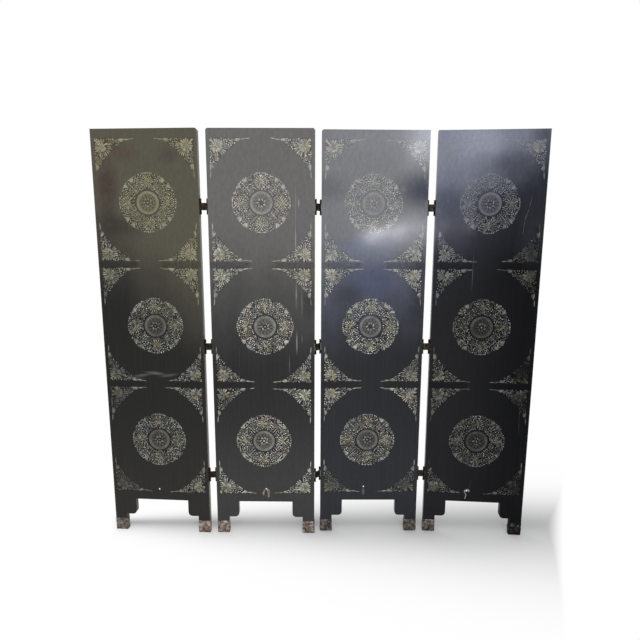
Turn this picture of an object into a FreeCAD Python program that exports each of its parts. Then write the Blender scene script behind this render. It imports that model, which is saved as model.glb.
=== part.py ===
import FreeCAD, Part
import Sketcher
import math
import os

# A four-panel lacquered folding screen, standing almost flat.
# Each panel is a framed wooden leaf on two brass-shod feet. Three double-acting
# hinges join each pair of panels, so every gap has a set of links with a pin at
# each end, and the panels fold either way. Millimetres, +X along the screen as
# seen from the front, +Y away from the viewer, +Z up, origin under the middle.

os.makedirs("parts", exist_ok=True)
document = FreeCAD.newDocument("folding_screen")

# Driving sizes

SIZES = {
    # the panel as a whole
    "panel_width": 457.2,
    "panel_height": 1828.8,
    "panel_thickness": 22,
    "face_thickness": 3,
    "worn_corner": 11,
    # the frame inside, and the stepped apron under it
    "stile_width": 55,
    "rail_height": 60,
    "tenon_length": 26,
    "tenon_thickness": 6,
    "tenon_shoulder": 10,
    "bracket_width": 48,
    "bracket_clearance": 82,
    "bracket_round": 19,
    "apron_clearance": 160,
    "apron_height": 74,
    # the brass shoes and the brass nails
    "shoe_height": 60,
    "shoe_wall": 1,
    "shoe_sole": 1.5,
    "nail_radius": 1.1,
    "nail_length": 10,
    "nail_head_radius": 3.5,
    "nail_head_height": 1.1,
    "shoe_nail_below_top": 12,
    "shoe_nail_from_side": 13,
    # the inlaid fields of the face: three alike, with plain bands between them
    "field_side_margin": 12.6,
    "field_above_apron": 38.5,
    "field_below_top": 37.3,
    "field_band": 24,
    "corner_reach": 188,
    "corner_arc_radius": 236,
    "inlay_thickness": 0.4,
    "medallion_radius": 126,
    "medallion_inner_radius": 57,
    "ring_radius": 51.5,
    "ring_inner_radius": 35.5,
    "rosette_radius": 24,
    # the hinges
    "lowest_hinge_centre": 289,
    "highest_hinge_below_top": 317.8,
    "pin_spacing": 27,
    "pin_from_edge": 4,
    "leaf_end_length": 14,
    "leaf_width": 14,
    "leaf_thickness": 1.5,
    "knuckle_radius": 3.5,
    "knuckle_length": 16,
    "knuckle_web": 3,
    "link_height": 31,
    "link_thickness": 3,
    "knuckle_gap": 0.5,
    "pin_radius": 1.6,
    "pin_running_clearance": 0.05,
    "pin_head_radius": 2.6,
    "pin_head_height": 1.4,
    "pin_head_gap": 0.3,
    "screw_radius": 1.4,
    "screw_length": 14,
    "screw_head_radius": 2.7,
    "screw_head_height": 1.2,
    "screw_from_leaf_end": 7,
    # how the panels and the links stand, in degrees about Z
    "panel_1_turn": -3.3,
    "panel_2_turn": -0.5,
    "panel_3_turn": 0.6,
    "panel_4_turn": -4.1,
    "link_12_turn": 6,
    "link_23_turn": 44,
    "link_34_turn": 1,
    # hand-set medallions: how far each stands above its field's middle, and to the
    # right of the panel's middle
    "top_medallion_lift": -8,
    "middle_medallion_lift": -2,
    "bottom_medallion_lift": 4,
    "medallion_1_top_shift": 6,
    "medallion_1_middle_shift": 12,
    "medallion_1_bottom_shift": 3,
    "medallion_2_top_shift": 0,
    "medallion_2_middle_shift": 9,
    "medallion_2_bottom_shift": -3,
    "medallion_3_top_shift": -5,
    "medallion_3_middle_shift": -8,
    "medallion_3_bottom_shift": -12,
    "medallion_4_top_shift": -2,
    "medallion_4_middle_shift": -7,
    "medallion_4_bottom_shift": 1,
    # the one nail on each face: how far it stands to the right of the panel's
    # middle, and above the apron's underside
    "stud_1_shift": -8,
    "stud_1_lift": 54,
    "stud_2_shift": 4,
    "stud_2_lift": 64,
    "stud_3_shift": -25,
    "stud_3_lift": 68,
    "stud_4_shift": -31,
    "stud_4_lift": 54,
}

sheet = document.addObject("Spreadsheet::Sheet", "Sizes")
for row, (alias, number) in enumerate(SIZES.items(), start=1):
    sheet.set(f"A{row}", alias)
    sheet.set(f"B{row}", str(number))
    sheet.setAlias(f"B{row}", alias)
# how far the finished screen is moved, so that its middle stands on the origin
CENTRE_ROW = len(SIZES) + 1
sheet.set(f"B{CENTRE_ROW}", "0")
sheet.setAlias(f"B{CENTRE_ROW}", "centre_x")
sheet.set(f"B{CENTRE_ROW + 1}", "0")
sheet.setAlias(f"B{CENTRE_ROW + 1}", "centre_y")
document.recompute()


# A size that knows both its number and its formula on the sheet

class Size:
    def __init__(self, value, formula):
        self.value = value
        self.formula = formula

    def joined(self, other, sign, value):
        formula = other.formula if isinstance(other, Size) else str(other)
        return Size(value, f"({self.formula} {sign} {formula})")

    def __add__(self, other):
        return self.joined(other, "+", self.value + number(other))

    def __sub__(self, other):
        return self.joined(other, "-", self.value - number(other))

    def __mul__(self, other):
        return self.joined(other, "*", self.value * number(other))

    def __truediv__(self, other):
        return self.joined(other, "/", self.value / number(other))

    def __neg__(self):
        return Size(-self.value, f"(0 - {self.formula})")


def number(size):
    return size.value if isinstance(size, Size) else size


def named(alias):
    return Size(float(SIZES[alias]), f"Sizes.{alias}")


def cosine(angle):
    return Size(math.cos(math.radians(angle.value)), f"cos({angle.formula} * 1 deg)")


def sine(angle):
    return Size(math.sin(math.radians(angle.value)), f"sin({angle.formula} * 1 deg)")


def square_root(size):
    return Size(math.sqrt(size.value), f"sqrt({size.formula})")


def bind(item, place, size):
    if isinstance(size, Size):
        item.setExpression(place, size.formula)


width = named("panel_width")
height = named("panel_height")
thickness = named("panel_thickness")
face = named("face_thickness")
core = thickness - face * 2
stile = named("stile_width")
rail = named("rail_height")
tenon_length = named("tenon_length")
tenon_thickness = named("tenon_thickness")
shoulder = named("tenon_shoulder")
bracket = named("bracket_width")
bracket_bottom = named("bracket_clearance")
apron_bottom = named("apron_clearance")
apron_top = apron_bottom + named("apron_height")
shoe_wall = named("shoe_wall")
shoe_sole = named("shoe_sole")
shoe_height = named("shoe_height")
nail_radius = named("nail_radius")
nail_length = named("nail_length")
nail_height = shoe_height - named("shoe_nail_below_top")
inlay = named("inlay_thickness")
pin_spacing = named("pin_spacing")
pin_from_edge = named("pin_from_edge")
leaf_width = named("leaf_width")
leaf_thickness = named("leaf_thickness")
knuckle_radius = named("knuckle_radius")
knuckle_length = named("knuckle_length")
link_height = named("link_height")
# a leaf spans the link and its own two knuckles, and runs on past them for its screws
knuckle_reach = link_height / 2 + named("knuckle_gap") + knuckle_length
leaf_length = (knuckle_reach + named("leaf_end_length")) * 2
pin_radius = named("pin_radius")
pin_head_gap = named("pin_head_gap")
pin_head_height = named("pin_head_height")
bore_radius = pin_radius + named("pin_running_clearance")
screw_radius = named("screw_radius")
screw_length = named("screw_length")
zero = stile * 0

lowest_hinge = named("lowest_hinge_centre")
highest_hinge = height - named("highest_hinge_below_top")
HINGE_CENTRES = [lowest_hinge, (lowest_hinge + highest_hinge) / 2, highest_hinge]

# the three fields share the height that the margins and the bands leave
FIELD_NAMES = ("bottom", "middle", "top")
field_band = named("field_band")
field_side = named("field_side_margin")
fields_start = apron_bottom + named("field_above_apron")
fields_height = height - named("field_below_top") - fields_start
field_height = (fields_height - field_band * (len(FIELD_NAMES) - 1)) / len(FIELD_NAMES)
FIELD_BOTTOMS = [
    fields_start + (field_height + field_band) * step for step in range(len(FIELD_NAMES))
]
# the three like rails: the lowest two lie behind the plain bands between the fields
RAIL_BOTTOMS = [bottom - field_band / 2 - rail / 2 for bottom in FIELD_BOTTOMS[1:]]
RAIL_BOTTOMS.append(height - rail)


# Where each body stands: a panel's own frame has its origin on the floor, at the
# panel's left edge and middle thickness; a link's has it on the left pin's axis

def turn(name):
    return named(f"{name}_turn")


def step_along(point, angle, distance):
    return (point[0] + cosine(angle) * distance, point[1] + sine(angle) * distance)


PANELS = ("panel_1", "panel_2", "panel_3", "panel_4")
LINKS = ("link_12", "link_23", "link_34")

centre_x = Size(0, "Sizes.centre_x")
centre_y = Size(0, "Sizes.centre_y")
frames = {"panel_1": (-centre_x, -centre_y)}
for left, link, right in zip(PANELS, LINKS, PANELS[1:]):
    frames[link] = step_along(frames[left], turn(left), width + pin_from_edge)
    far_pin = step_along(frames[link], turn(link), pin_spacing)
    frames[right] = step_along(far_pin, turn(right), pin_from_edge)

NODES = []


def finished(item, body, piece):
    # gives a sub-part its label and stands it in its body's frame
    item.Label = f"{body}_{piece}"
    bind(item, "Placement.Base.x", frames[body][0])
    bind(item, "Placement.Base.y", frames[body][1])
    bind(item, "Placement.Rotation.Angle", turn(body))
    NODES.append(item)
    return item


# Plain solids and booleans

def block(name, low, lengths):
    solid = document.addObject("Part::Box", name)
    for place, size in zip(("Length", "Width", "Height"), lengths):
        bind(solid, place, size)
    for place, size in zip("xyz", low):
        bind(solid, f"Placement.Base.{place}", size)
    return solid


UPRIGHT = FreeCAD.Rotation()
TOWARDS_BACK = FreeCAD.Rotation(FreeCAD.Vector(1, 0, 0), -90)
TOWARDS_FRONT = FreeCAD.Rotation(FreeCAD.Vector(1, 0, 0), 90)
TOWARDS_RIGHT = FreeCAD.Rotation(FreeCAD.Vector(0, 1, 0), 90)
TOWARDS_LEFT = FreeCAD.Rotation(FreeCAD.Vector(0, 1, 0), -90)


def rod(name, start, radius, length, heading=UPRIGHT, end_radius=None):
    kind = "Part::Cylinder" if end_radius is None else "Part::Cone"
    solid = document.addObject(kind, name)
    solid.Placement = FreeCAD.Placement(FreeCAD.Vector(), heading)
    if end_radius is None:
        bind(solid, "Radius", radius)
    else:
        bind(solid, "Radius1", radius)
        bind(solid, "Radius2", end_radius)
    bind(solid, "Height", length)
    for place, size in zip("xyz", start):
        bind(solid, f"Placement.Base.{place}", size)
    return solid


def joined(name, solids):
    whole = document.addObject("Part::MultiFuse", name)
    whole.Shapes = solids
    whole.Refine = True
    return whole


def grouped(name, solids):
    whole = document.addObject("Part::Compound", name)
    whole.Links = solids
    return whole


def cut(name, base, tool):
    whole = document.addObject("Part::Cut", name)
    whole.Base = base
    whole.Tool = tool
    return whole


# Bodies drawn in sketches

def new_body(name):
    return document.addObject("PartDesign::Body", name)


def sketch_on(body, name, role, offset=None):
    sketch = body.newObject("Sketcher::SketchObject", name)
    plane = next(item for item in body.Origin.OriginFeatures if item.Role == role)
    sketch.AttachmentSupport = [(plane, "")]
    sketch.MapMode = "FlatFace"
    bind(sketch, "AttachmentOffset.Base.z", offset)
    return sketch


def fix_point(sketch, item, end, point):
    # ties a point of the sketch to the sheet, or to an axis where its place is zero
    for kind, axis, size in (("DistanceX", -2, point[0]), ("DistanceY", -1, point[1])):
        if size is zero:
            sketch.addConstraint(Sketcher.Constraint("PointOnObject", item, end, axis))
        else:
            row = sketch.addConstraint(
                Sketcher.Constraint(kind, -1, 1, item, end, size.value))
            sketch.setExpression(f"Constraints[{row}]", size.formula)


def draw_polygon(sketch, points):
    first = sketch.GeometryCount
    corners = [FreeCAD.Vector(x.value, z.value, 0) for x, z in points]
    for start, end in zip(corners, corners[1:] + corners[:1]):
        sketch.addGeometry(Part.LineSegment(start, end))
    for step, point in enumerate(points):
        following = first + (step + 1) % len(points)
        sketch.addConstraint(
            Sketcher.Constraint("Coincident", first + step, 2, following, 1))
        fix_point(sketch, first + step, 1, point)


def draw_rectangle(sketch, low, high):
    draw_polygon(sketch, [low, (high[0], low[1]), high, (low[0], high[1])])


def draw_circle(sketch, centre, radius):
    place = FreeCAD.Vector(centre[0].value, centre[1].value, 0)
    item = sketch.addGeometry(Part.Circle(place, FreeCAD.Vector(0, 0, 1), radius.value))
    row = sketch.addConstraint(Sketcher.Constraint("Radius", item, radius.value))
    sketch.setExpression(f"Constraints[{row}]", radius.formula)
    fix_point(sketch, item, 3, centre)


def pad(body, sketch, length, midplane=False):
    feature = body.newObject("PartDesign::Pad", f"{sketch.Name}_pad")
    feature.Profile = sketch
    feature.Midplane = midplane
    bind(feature, "Length", length)
    return feature


def pocket(body, sketch, length, midplane=False, reversed_way=False):
    feature = body.newObject("PartDesign::Pocket", f"{sketch.Name}_pocket")
    feature.Profile = sketch
    feature.Midplane = midplane
    feature.Reversed = reversed_way
    bind(feature, "Length", length)
    return feature


def round_edges(body, name, places, radius):
    # rounds the edges that run front to back through the given places
    document.recompute()
    base = body.Tip
    edges = []
    for index, edge in enumerate(base.Shape.Edges, start=1):
        ends = [vertex.Point for vertex in edge.Vertexes]
        if len(ends) < 2 or abs(ends[0].y - ends[1].y) < edge.Length / 2:
            continue
        for x, z in places:
            if math.hypot(ends[0].x - x.value, ends[0].z - z.value) < radius.value / 100:
                edges.append(f"Edge{index}")
    feature = body.newObject("PartDesign::Fillet", name)
    feature.Base = (base, edges)
    bind(feature, "Radius", radius)
    body.Tip = feature
    return feature


# The wooden frame of a panel

# which top corners of each panel are worn round
WORN_LEFT = ("panel_2", "panel_3")
WORN_RIGHT = ("panel_1", "panel_2")


def hinge_sides(body):
    sides = []
    if body != PANELS[0]:
        sides.append("left")
    if body != PANELS[-1]:
        sides.append("right")
    return sides


def stile_nail_places(side):
    middle = stile / 2 if side == "left" else width - stile / 2
    spread = stile / 2 - named("shoe_nail_from_side")
    return [(middle - spread, nail_height), (middle + spread, nail_height)]


def stud_place(body):
    return (
        width / 2 + named(f"stud_{body[-1]}_shift"),
        apron_bottom + named(f"stud_{body[-1]}_lift"),
    )


def make_stile(body, side):
    # an upright post; its lower end is the foot
    left = zero if side == "left" else width - stile
    right = stile if side == "left" else width
    name = f"{body}_{side}_stile"
    post = new_body(name)
    outline = sketch_on(post, f"{name}_outline", "XZ_Plane", -(core / 2))
    draw_rectangle(outline, (left, shoe_sole), (right, height))
    pad(post, outline, core)

    mortises = sketch_on(post, f"{name}_mortises", "XZ_Plane")
    inner = stile - tenon_length if side == "left" else width - stile
    outer = stile if side == "left" else width - stile + tenon_length
    for bottom in RAIL_BOTTOMS:
        draw_rectangle(mortises, (inner, bottom + shoulder), (outer, bottom + rail - shoulder))
    draw_rectangle(mortises, (inner, apron_bottom + shoulder), (outer, apron_top - shoulder))
    pocket(post, mortises, tenon_thickness, midplane=True)

    holes = sketch_on(post, f"{name}_nail_holes", "XZ_Plane")
    for place in stile_nail_places(side):
        draw_circle(holes, place, nail_radius)
    pocket(post, holes, core, midplane=True)

    if side in hinge_sides(body):
        edge = zero if side == "left" else width
        floor = leaf_thickness if side == "left" else width - leaf_thickness
        low_x, high_x = (edge, floor) if side == "left" else (floor, edge)
        recesses = sketch_on(post, f"{name}_leaf_recesses", "XZ_Plane")
        for centre in HINGE_CENTRES:
            draw_rectangle(
                recesses,
                (low_x, centre - leaf_length / 2),
                (high_x, centre + leaf_length / 2))
        pocket(post, recesses, leaf_width, midplane=True)
        pilots = sketch_on(post, f"{name}_screw_holes", "YZ_Plane",
                           None if side == "left" else width)
        for place in screw_heights():
            draw_circle(pilots, (zero, place), screw_radius)
        pocket(post, pilots, screw_length, reversed_way=side == "left")

    worn = WORN_LEFT if side == "left" else WORN_RIGHT
    if body in worn:
        corner = zero if side == "left" else width
        round_edges(post, f"{name}_worn_corner", [(corner, height)], named("worn_corner"))
    return finished(post, body, f"{side}_stile")


def make_rails(body):
    # three like cross rails, each with a tenon running out at both ends
    solids = []
    for step, bottom in enumerate(RAIL_BOTTOMS):
        solids.append(block(
            f"{body}_rail_{step}",
            (stile, -(core / 2), bottom),
            (width - stile * 2, core, rail)))
        solids.append(block(
            f"{body}_tenons_{step}",
            (stile - tenon_length, -(tenon_thickness / 2), bottom + shoulder),
            (width - (stile - tenon_length) * 2, tenon_thickness, rail - shoulder * 2)))
    return finished(joined(f"{body}_rails", solids), body, "rails")


def make_core_boards(body):
    # plain boards that fill the frame between the rails
    solids = []
    bottoms = [apron_top] + [bottom + rail for bottom in RAIL_BOTTOMS[:-1]]
    for step, (bottom, top) in enumerate(zip(bottoms, RAIL_BOTTOMS)):
        solids.append(block(
            f"{body}_core_board_{step}",
            (stile, -(core / 2), bottom),
            (width - stile * 2, core, top - bottom)))
    return finished(grouped(f"{body}_core_boards", solids), body, "core_boards")


def foot_outline(left, right, bottom, top):
    # the stepped underside of a panel, between two uprights at left and right
    return [
        (left, top), (left, bottom),
        (stile, bottom), (stile, bracket_bottom),
        (stile + bracket, bracket_bottom), (stile + bracket, apron_bottom),
        (width - stile - bracket, apron_bottom), (width - stile - bracket, bracket_bottom),
        (width - stile, bracket_bottom), (width - stile, bottom),
        (right, bottom), (right, top),
    ]


BRACKET_CORNERS = [
    (stile + bracket, bracket_bottom),
    (width - stile - bracket, bracket_bottom),
]


def make_apron(body):
    # the bottom rail, cut from one board with a stepped bracket at each end
    name = f"{body}_apron"
    board = new_body(name)
    outline = sketch_on(board, f"{name}_outline", "XZ_Plane", -(core / 2))
    draw_polygon(outline, [
        (stile, bracket_bottom),
        (stile + bracket, bracket_bottom), (stile + bracket, apron_bottom),
        (width - stile - bracket, apron_bottom), (width - stile - bracket, bracket_bottom),
        (width - stile, bracket_bottom),
        (width - stile, apron_top), (stile, apron_top),
    ])
    pad(board, outline, core)
    tenons = sketch_on(board, f"{name}_tenons", "XZ_Plane")
    draw_rectangle(
        tenons,
        (stile - tenon_length, apron_bottom + shoulder),
        (width - stile + tenon_length, apron_top - shoulder))
    pad(board, tenons, tenon_thickness, midplane=True)
    hole = sketch_on(board, f"{name}_stud_hole", "XZ_Plane", core / 2)
    draw_circle(hole, stud_place(body), nail_radius)
    pocket(board, hole, nail_length - face)
    round_edges(board, f"{name}_bracket_rounds", BRACKET_CORNERS, named("bracket_round"))
    return finished(board, body, "apron")


def make_face_board(body, side):
    # the thin lacquered board that covers the frame, cut to the panel's outline
    name = f"{body}_{side}_board"
    board = new_body(name)
    # the sketch plane's own normal points to the front
    near = core / 2 if side == "front" else -(thickness / 2)
    outline = sketch_on(board, f"{name}_outline", "XZ_Plane", near)
    draw_polygon(outline, foot_outline(zero, width, shoe_sole, height))
    pad(board, outline, face)
    holes = sketch_on(board, f"{name}_nail_holes", "XZ_Plane", near + face)
    for place in stile_nail_places("left") + stile_nail_places("right"):
        draw_circle(holes, place, nail_radius)
    if side == "front":
        draw_circle(holes, stud_place(body), nail_radius)
    pocket(board, holes, face)
    round_edges(board, f"{name}_bracket_rounds", BRACKET_CORNERS, named("bracket_round"))
    corners = []
    if body in WORN_LEFT:
        corners.append((zero, height))
    if body in WORN_RIGHT:
        corners.append((width, height))
    if corners:
        round_edges(board, f"{name}_worn_corners", corners, named("worn_corner"))
    return finished(board, body, f"{side}_board")


# The inlay: pale plates on the front face, where the shell and gilt pattern lies

front_face = -(thickness / 2)


def make_medallions(body):
    # per field: a broad flowered annulus, a plain ring inside it, and a rosette
    solids = []
    for field, bottom in zip(FIELD_NAMES, FIELD_BOTTOMS):
        centre = (
            width / 2 + named(f"medallion_{body[-1]}_{field}_shift"),
            front_face,
            bottom + field_height / 2 + named(f"{field}_medallion_lift"),
        )
        for band, outer, inner in (
            ("flowers", "medallion_radius", "medallion_inner_radius"),
            ("ring", "ring_radius", "ring_inner_radius"),
        ):
            name = f"{body}_{field}_{band}"
            disc = rod(f"{name}_disc", centre, named(outer), inlay, TOWARDS_FRONT)
            hole = rod(f"{name}_hole", centre, named(inner), inlay, TOWARDS_FRONT)
            solids.append(cut(name, disc, hole))
        solids.append(rod(
            f"{body}_{field}_rosette", centre, named("rosette_radius"), inlay, TOWARDS_FRONT))
    return finished(grouped(f"{body}_medallions", solids), body, "medallions")


def make_corner_inlays(body):
    # four corner pieces per field, each a square with a large round arc cut away, so
    # that it ends in two thin tails and the plain lacquer between is an upright oval
    reach = named("corner_reach")
    radius = named("corner_arc_radius")
    # the arc's centre lies on the corner's diagonal, and the arc ends at both tails
    inset = (reach + square_root(radius * radius * 2 - reach * reach)) / 2
    solids = []
    for field, field_bottom in zip(FIELD_NAMES, FIELD_BOTTOMS):
        field_top = field_bottom + field_height
        for side, low_x, arc_x in (
            ("left", field_side, field_side + inset),
            ("right", width - field_side - reach, width - field_side - inset),
        ):
            for end, low_z, arc_z in (
                ("lower", field_bottom, field_bottom + inset),
                ("upper", field_top - reach, field_top - inset),
            ):
                name = f"{body}_{field}_{end}_{side}_corner"
                plate = block(
                    f"{name}_plate", (low_x, front_face - inlay, low_z), (reach, inlay, reach))
                arc = rod(f"{name}_arc", (arc_x, front_face, arc_z), radius, inlay, TOWARDS_FRONT)
                solids.append(cut(name, plate, arc))
    return finished(grouped(f"{body}_corner_inlays", solids), body, "corner_inlays")


# The brass shoes and the nails

def make_shoes(body):
    # a folded brass cup round the end of each foot
    cups = []
    hollows = []
    for side, left in (("left", zero), ("right", width - stile)):
        cups.append(block(
            f"{body}_{side}_shoe",
            (left - shoe_wall, -(thickness / 2 + shoe_wall), zero),
            (stile + shoe_wall * 2, thickness + shoe_wall * 2, shoe_height)))
        hollows.append(block(
            f"{body}_{side}_shoe_hollow",
            (left, -(thickness / 2), shoe_sole),
            (stile, thickness, shoe_height)))
        for step, (x, z) in enumerate(stile_nail_places(side)):
            hollows.append(rod(
                f"{body}_{side}_shoe_nail_hole_{step}",
                (x, -(thickness / 2 + shoe_wall), z),
                nail_radius, thickness + shoe_wall * 2, TOWARDS_BACK))
    cup_group = grouped(f"{body}_shoe_cups", cups)
    hollow_group = joined(f"{body}_shoe_hollows", hollows)
    return finished(cut(f"{body}_shoes", cup_group, hollow_group), body, "shoes")


# how the head's outline is shared between its two slopes
BROW_RADIUS_SHARE = 0.78
CROWN_RADIUS_SHARE = 0.35
BROW_HEIGHT_SHARE = 0.6


def make_nail(name, x, z, surface, heading):
    # a head in two slopes, the outer one flatter, on a straight shank
    outward = TOWARDS_FRONT if heading == TOWARDS_BACK else TOWARDS_BACK
    head_radius = named("nail_head_radius")
    head_height = named("nail_head_height")
    brow_radius = head_radius * BROW_RADIUS_SHARE
    crown_radius = head_radius * CROWN_RADIUS_SHARE
    brow = head_height * BROW_HEIGHT_SHARE
    brow_face = surface - brow if heading == TOWARDS_BACK else surface + brow
    return [
        rod(f"{name}_brow", (x, surface, z), head_radius, brow, outward, brow_radius),
        rod(f"{name}_crown", (x, brow_face, z), brow_radius, head_height - brow, outward,
            crown_radius),
        rod(f"{name}_shank", (x, surface, z), nail_radius, nail_length, heading),
    ]


def make_nails(body):
    # the round-headed brass nails: four in each shoe, and one in the apron's face
    solids = []
    shoe_face = thickness / 2 + shoe_wall
    for side in ("left", "right"):
        for step, (x, z) in enumerate(stile_nail_places(side)):
            name = f"{body}_{side}_nail_{step}"
            solids += make_nail(f"{name}_front", x, z, -shoe_face, TOWARDS_BACK)
            solids += make_nail(f"{name}_back", x, z, shoe_face, TOWARDS_FRONT)
    solids += make_nail(f"{body}_stud", *stud_place(body), front_face, TOWARDS_BACK)
    return finished(joined(f"{body}_nails", solids), body, "nails")


# The hinges

def screw_heights():
    reach = leaf_length / 2 - named("screw_from_leaf_end")
    heights = []
    for centre in HINGE_CENTRES:
        heights += [centre - reach, centre + reach]
    return heights


def make_leaves(body, side):
    # three narrow leaves let into the panel's edge; each carries two knuckles
    away = 1 if side == "right" else -1
    edge = width if side == "right" else zero
    pin_x = edge + pin_from_edge * away
    plate_low = edge - leaf_thickness if side == "right" else edge
    web = named("knuckle_web")
    web_length = pin_from_edge + leaf_thickness / 2
    web_low = edge - leaf_thickness / 2 if side == "right" else pin_x
    solids = []
    tools = []
    for step, centre in enumerate(HINGE_CENTRES):
        name = f"{body}_{side}_leaf_{step}"
        solids.append(block(
            f"{name}_plate",
            (plate_low, -(leaf_width / 2), centre - leaf_length / 2),
            (leaf_thickness, leaf_width, leaf_length)))
        knuckle_bottoms = (
            ("lower", centre - knuckle_reach),
            ("upper", centre + knuckle_reach - knuckle_length),
        )
        for end, bottom in knuckle_bottoms:
            solids.append(block(
                f"{name}_{end}_web",
                (web_low, -(web / 2), bottom), (web_length, web, knuckle_length)))
            solids.append(rod(
                f"{name}_{end}_knuckle", (pin_x, zero, bottom), knuckle_radius, knuckle_length))
        tools.append(rod(
            f"{name}_bore", (pin_x, zero, centre - leaf_length / 2), bore_radius, leaf_length))
    heading = TOWARDS_LEFT if side == "right" else TOWARDS_RIGHT
    for step, place in enumerate(screw_heights()):
        tools += screw_solids(f"{body}_{side}_leaf_screw_hole_{step}", edge, place, heading)
    plates = joined(f"{body}_{side}_leaf_plates", solids)
    holes = joined(f"{body}_{side}_leaf_holes", tools)
    leaves = cut(f"{body}_{side}_hinge_leaves", plates, holes)
    return finished(leaves, body, f"{side}_hinge_leaves")


def screw_solids(name, edge, place, heading):
    # a countersunk wood screw, with its head flush with the leaf
    head = rod(f"{name}_head", (edge, zero, place), named("screw_head_radius"),
               named("screw_head_height"), heading, end_radius=screw_radius)
    shank = rod(f"{name}_shank", (edge, zero, place), screw_radius, screw_length, heading)
    return [head, shank]


def make_screws(body):
    solids = []
    for side in hinge_sides(body):
        edge = width if side == "right" else zero
        heading = TOWARDS_LEFT if side == "right" else TOWARDS_RIGHT
        for step, place in enumerate(screw_heights()):
            solids += screw_solids(f"{body}_{side}_screw_{step}", edge, place, heading)
    return finished(joined(f"{body}_hinge_screws", solids), body, "hinge_screws")


def make_links(body):
    # three links, each with a barrel on both pins and a plate between them
    solids = []
    bores = []
    link_thickness = named("link_thickness")
    for step, centre in enumerate(HINGE_CENTRES):
        bottom = centre - link_height / 2
        name = f"{body}_{step}"
        solids.append(block(
            f"{name}_plate", (zero, -(link_thickness / 2), bottom),
            (pin_spacing, link_thickness, link_height)))
        for end, x in (("left", zero), ("right", pin_spacing)):
            solids.append(rod(f"{name}_{end}_barrel", (x, zero, bottom), knuckle_radius, link_height))
            bores.append(rod(f"{name}_{end}_bore", (x, zero, bottom), pin_radius, link_height))
    straps = joined(f"{body}_straps", solids)
    links = cut(f"{body}_links", straps, joined(f"{body}_bores", bores))
    return finished(links, body, "links")


def make_pins(body):
    # six pins, fast in the links' barrels and free in the leaves' knuckles
    solids = []
    reach = knuckle_reach + pin_head_gap
    for step, centre in enumerate(HINGE_CENTRES):
        for end, x in (("left", zero), ("right", pin_spacing)):
            name = f"{body}_{end}_pin_{step}"
            solids.append(rod(f"{name}_shaft", (x, zero, centre - reach), pin_radius, reach * 2))
            solids.append(rod(
                f"{name}_foot", (x, zero, centre - reach - pin_head_height),
                named("pin_head_radius"), pin_head_height))
            solids.append(rod(
                f"{name}_head", (x, zero, centre + reach),
                named("pin_head_radius"), pin_head_height))
    return finished(joined(f"{body}_pins", solids), body, "pins")


# The whole screen

for panel in PANELS:
    make_stile(panel, "left")
    make_stile(panel, "right")
    make_rails(panel)
    make_core_boards(panel)
    make_apron(panel)
    make_face_board(panel, "front")
    make_face_board(panel, "back")
    make_medallions(panel)
    make_corner_inlays(panel)
    make_shoes(panel)
    make_nails(panel)
    for panel_side in hinge_sides(panel):
        make_leaves(panel, panel_side)
    make_screws(panel)
for link_body in LINKS:
    make_links(link_body)
    make_pins(link_body)
document.recompute()

# the screen's middle is found from its solids, and moved on to the origin
whole_box = FreeCAD.BoundBox()
for node in NODES:
    whole_box.add(node.Shape.optimalBoundingBox(False))
sheet.set(f"B{CENTRE_ROW}", str(whole_box.Center.x))
sheet.set(f"B{CENTRE_ROW + 1}", str(whole_box.Center.y))
document.recompute()

# Checks before writing

for item in document.Objects:
    if "Invalid" in item.State or "Error" in item.State:
        raise RuntimeError(f"{item.Label} failed: {item.State}")
for node in NODES:
    if node.Shape.isNull() or not node.Shape.isValid() or not node.Shape.Solids:
        raise RuntimeError(f"{node.Label} has no valid shape")

for node in NODES:
    node.Shape.exportStep(f"parts/{node.Label}.step")
    print(f"{node.Label}: {len(node.Shape.Solids)} solids, {node.Shape.Volume / 1000:.1f} cm3")
final_box = FreeCAD.BoundBox()
for node in NODES:
    final_box.add(node.Shape.optimalBoundingBox(False))
print(f"{len(NODES)} nodes, box {final_box}")
for link in LINKS:
    place = next(node for node in NODES if node.Label == f"{link}_links").Placement
    far_pin = place.multVec(FreeCAD.Vector(SIZES["pin_spacing"], 0, 0))
    print(f"{link}: pin axes at {place.Base.x:.3f}, {place.Base.y:.3f}"
          f" and {far_pin.x:.3f}, {far_pin.y:.3f}")
for panel in PANELS:
    place = next(node for node in NODES if node.Label == f"{panel}_rails").Placement
    print(f"{panel}: frame at {place.Base.x:.3f}, {place.Base.y:.3f}, turned {turn(panel).value}")
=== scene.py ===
# %% [markdown]
# # A four-panel lacquered folding screen
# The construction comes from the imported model: boards, posts, hinges, shoes and nails stand
# where they really are. This lesson dresses it: worn black lacquer, inlay of shell and gilt,
# dented sheet-brass shoes, and a plain studio round it. Every step says what the real thing
# is, how it could be made, and why this way was chosen.

# %% Load the model and keep its box
import math
import random

import bmesh
import bpy
from mathutils import Matrix, Quaternion, Vector, geometry, noise


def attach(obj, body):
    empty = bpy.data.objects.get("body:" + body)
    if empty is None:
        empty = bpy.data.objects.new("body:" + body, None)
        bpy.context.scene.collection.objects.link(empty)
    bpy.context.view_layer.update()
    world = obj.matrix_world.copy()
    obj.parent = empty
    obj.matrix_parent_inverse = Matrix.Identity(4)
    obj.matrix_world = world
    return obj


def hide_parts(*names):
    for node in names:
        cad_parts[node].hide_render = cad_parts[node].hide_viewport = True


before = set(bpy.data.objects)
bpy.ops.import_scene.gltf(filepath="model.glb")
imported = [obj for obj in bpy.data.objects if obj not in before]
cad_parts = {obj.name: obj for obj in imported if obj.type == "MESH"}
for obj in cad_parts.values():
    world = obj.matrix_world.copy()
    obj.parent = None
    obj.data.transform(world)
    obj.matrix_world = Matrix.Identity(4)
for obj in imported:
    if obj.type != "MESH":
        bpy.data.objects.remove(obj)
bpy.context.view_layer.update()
MM = 0.001
PANELS = ("panel_1", "panel_2", "panel_3", "panel_4")

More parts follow.
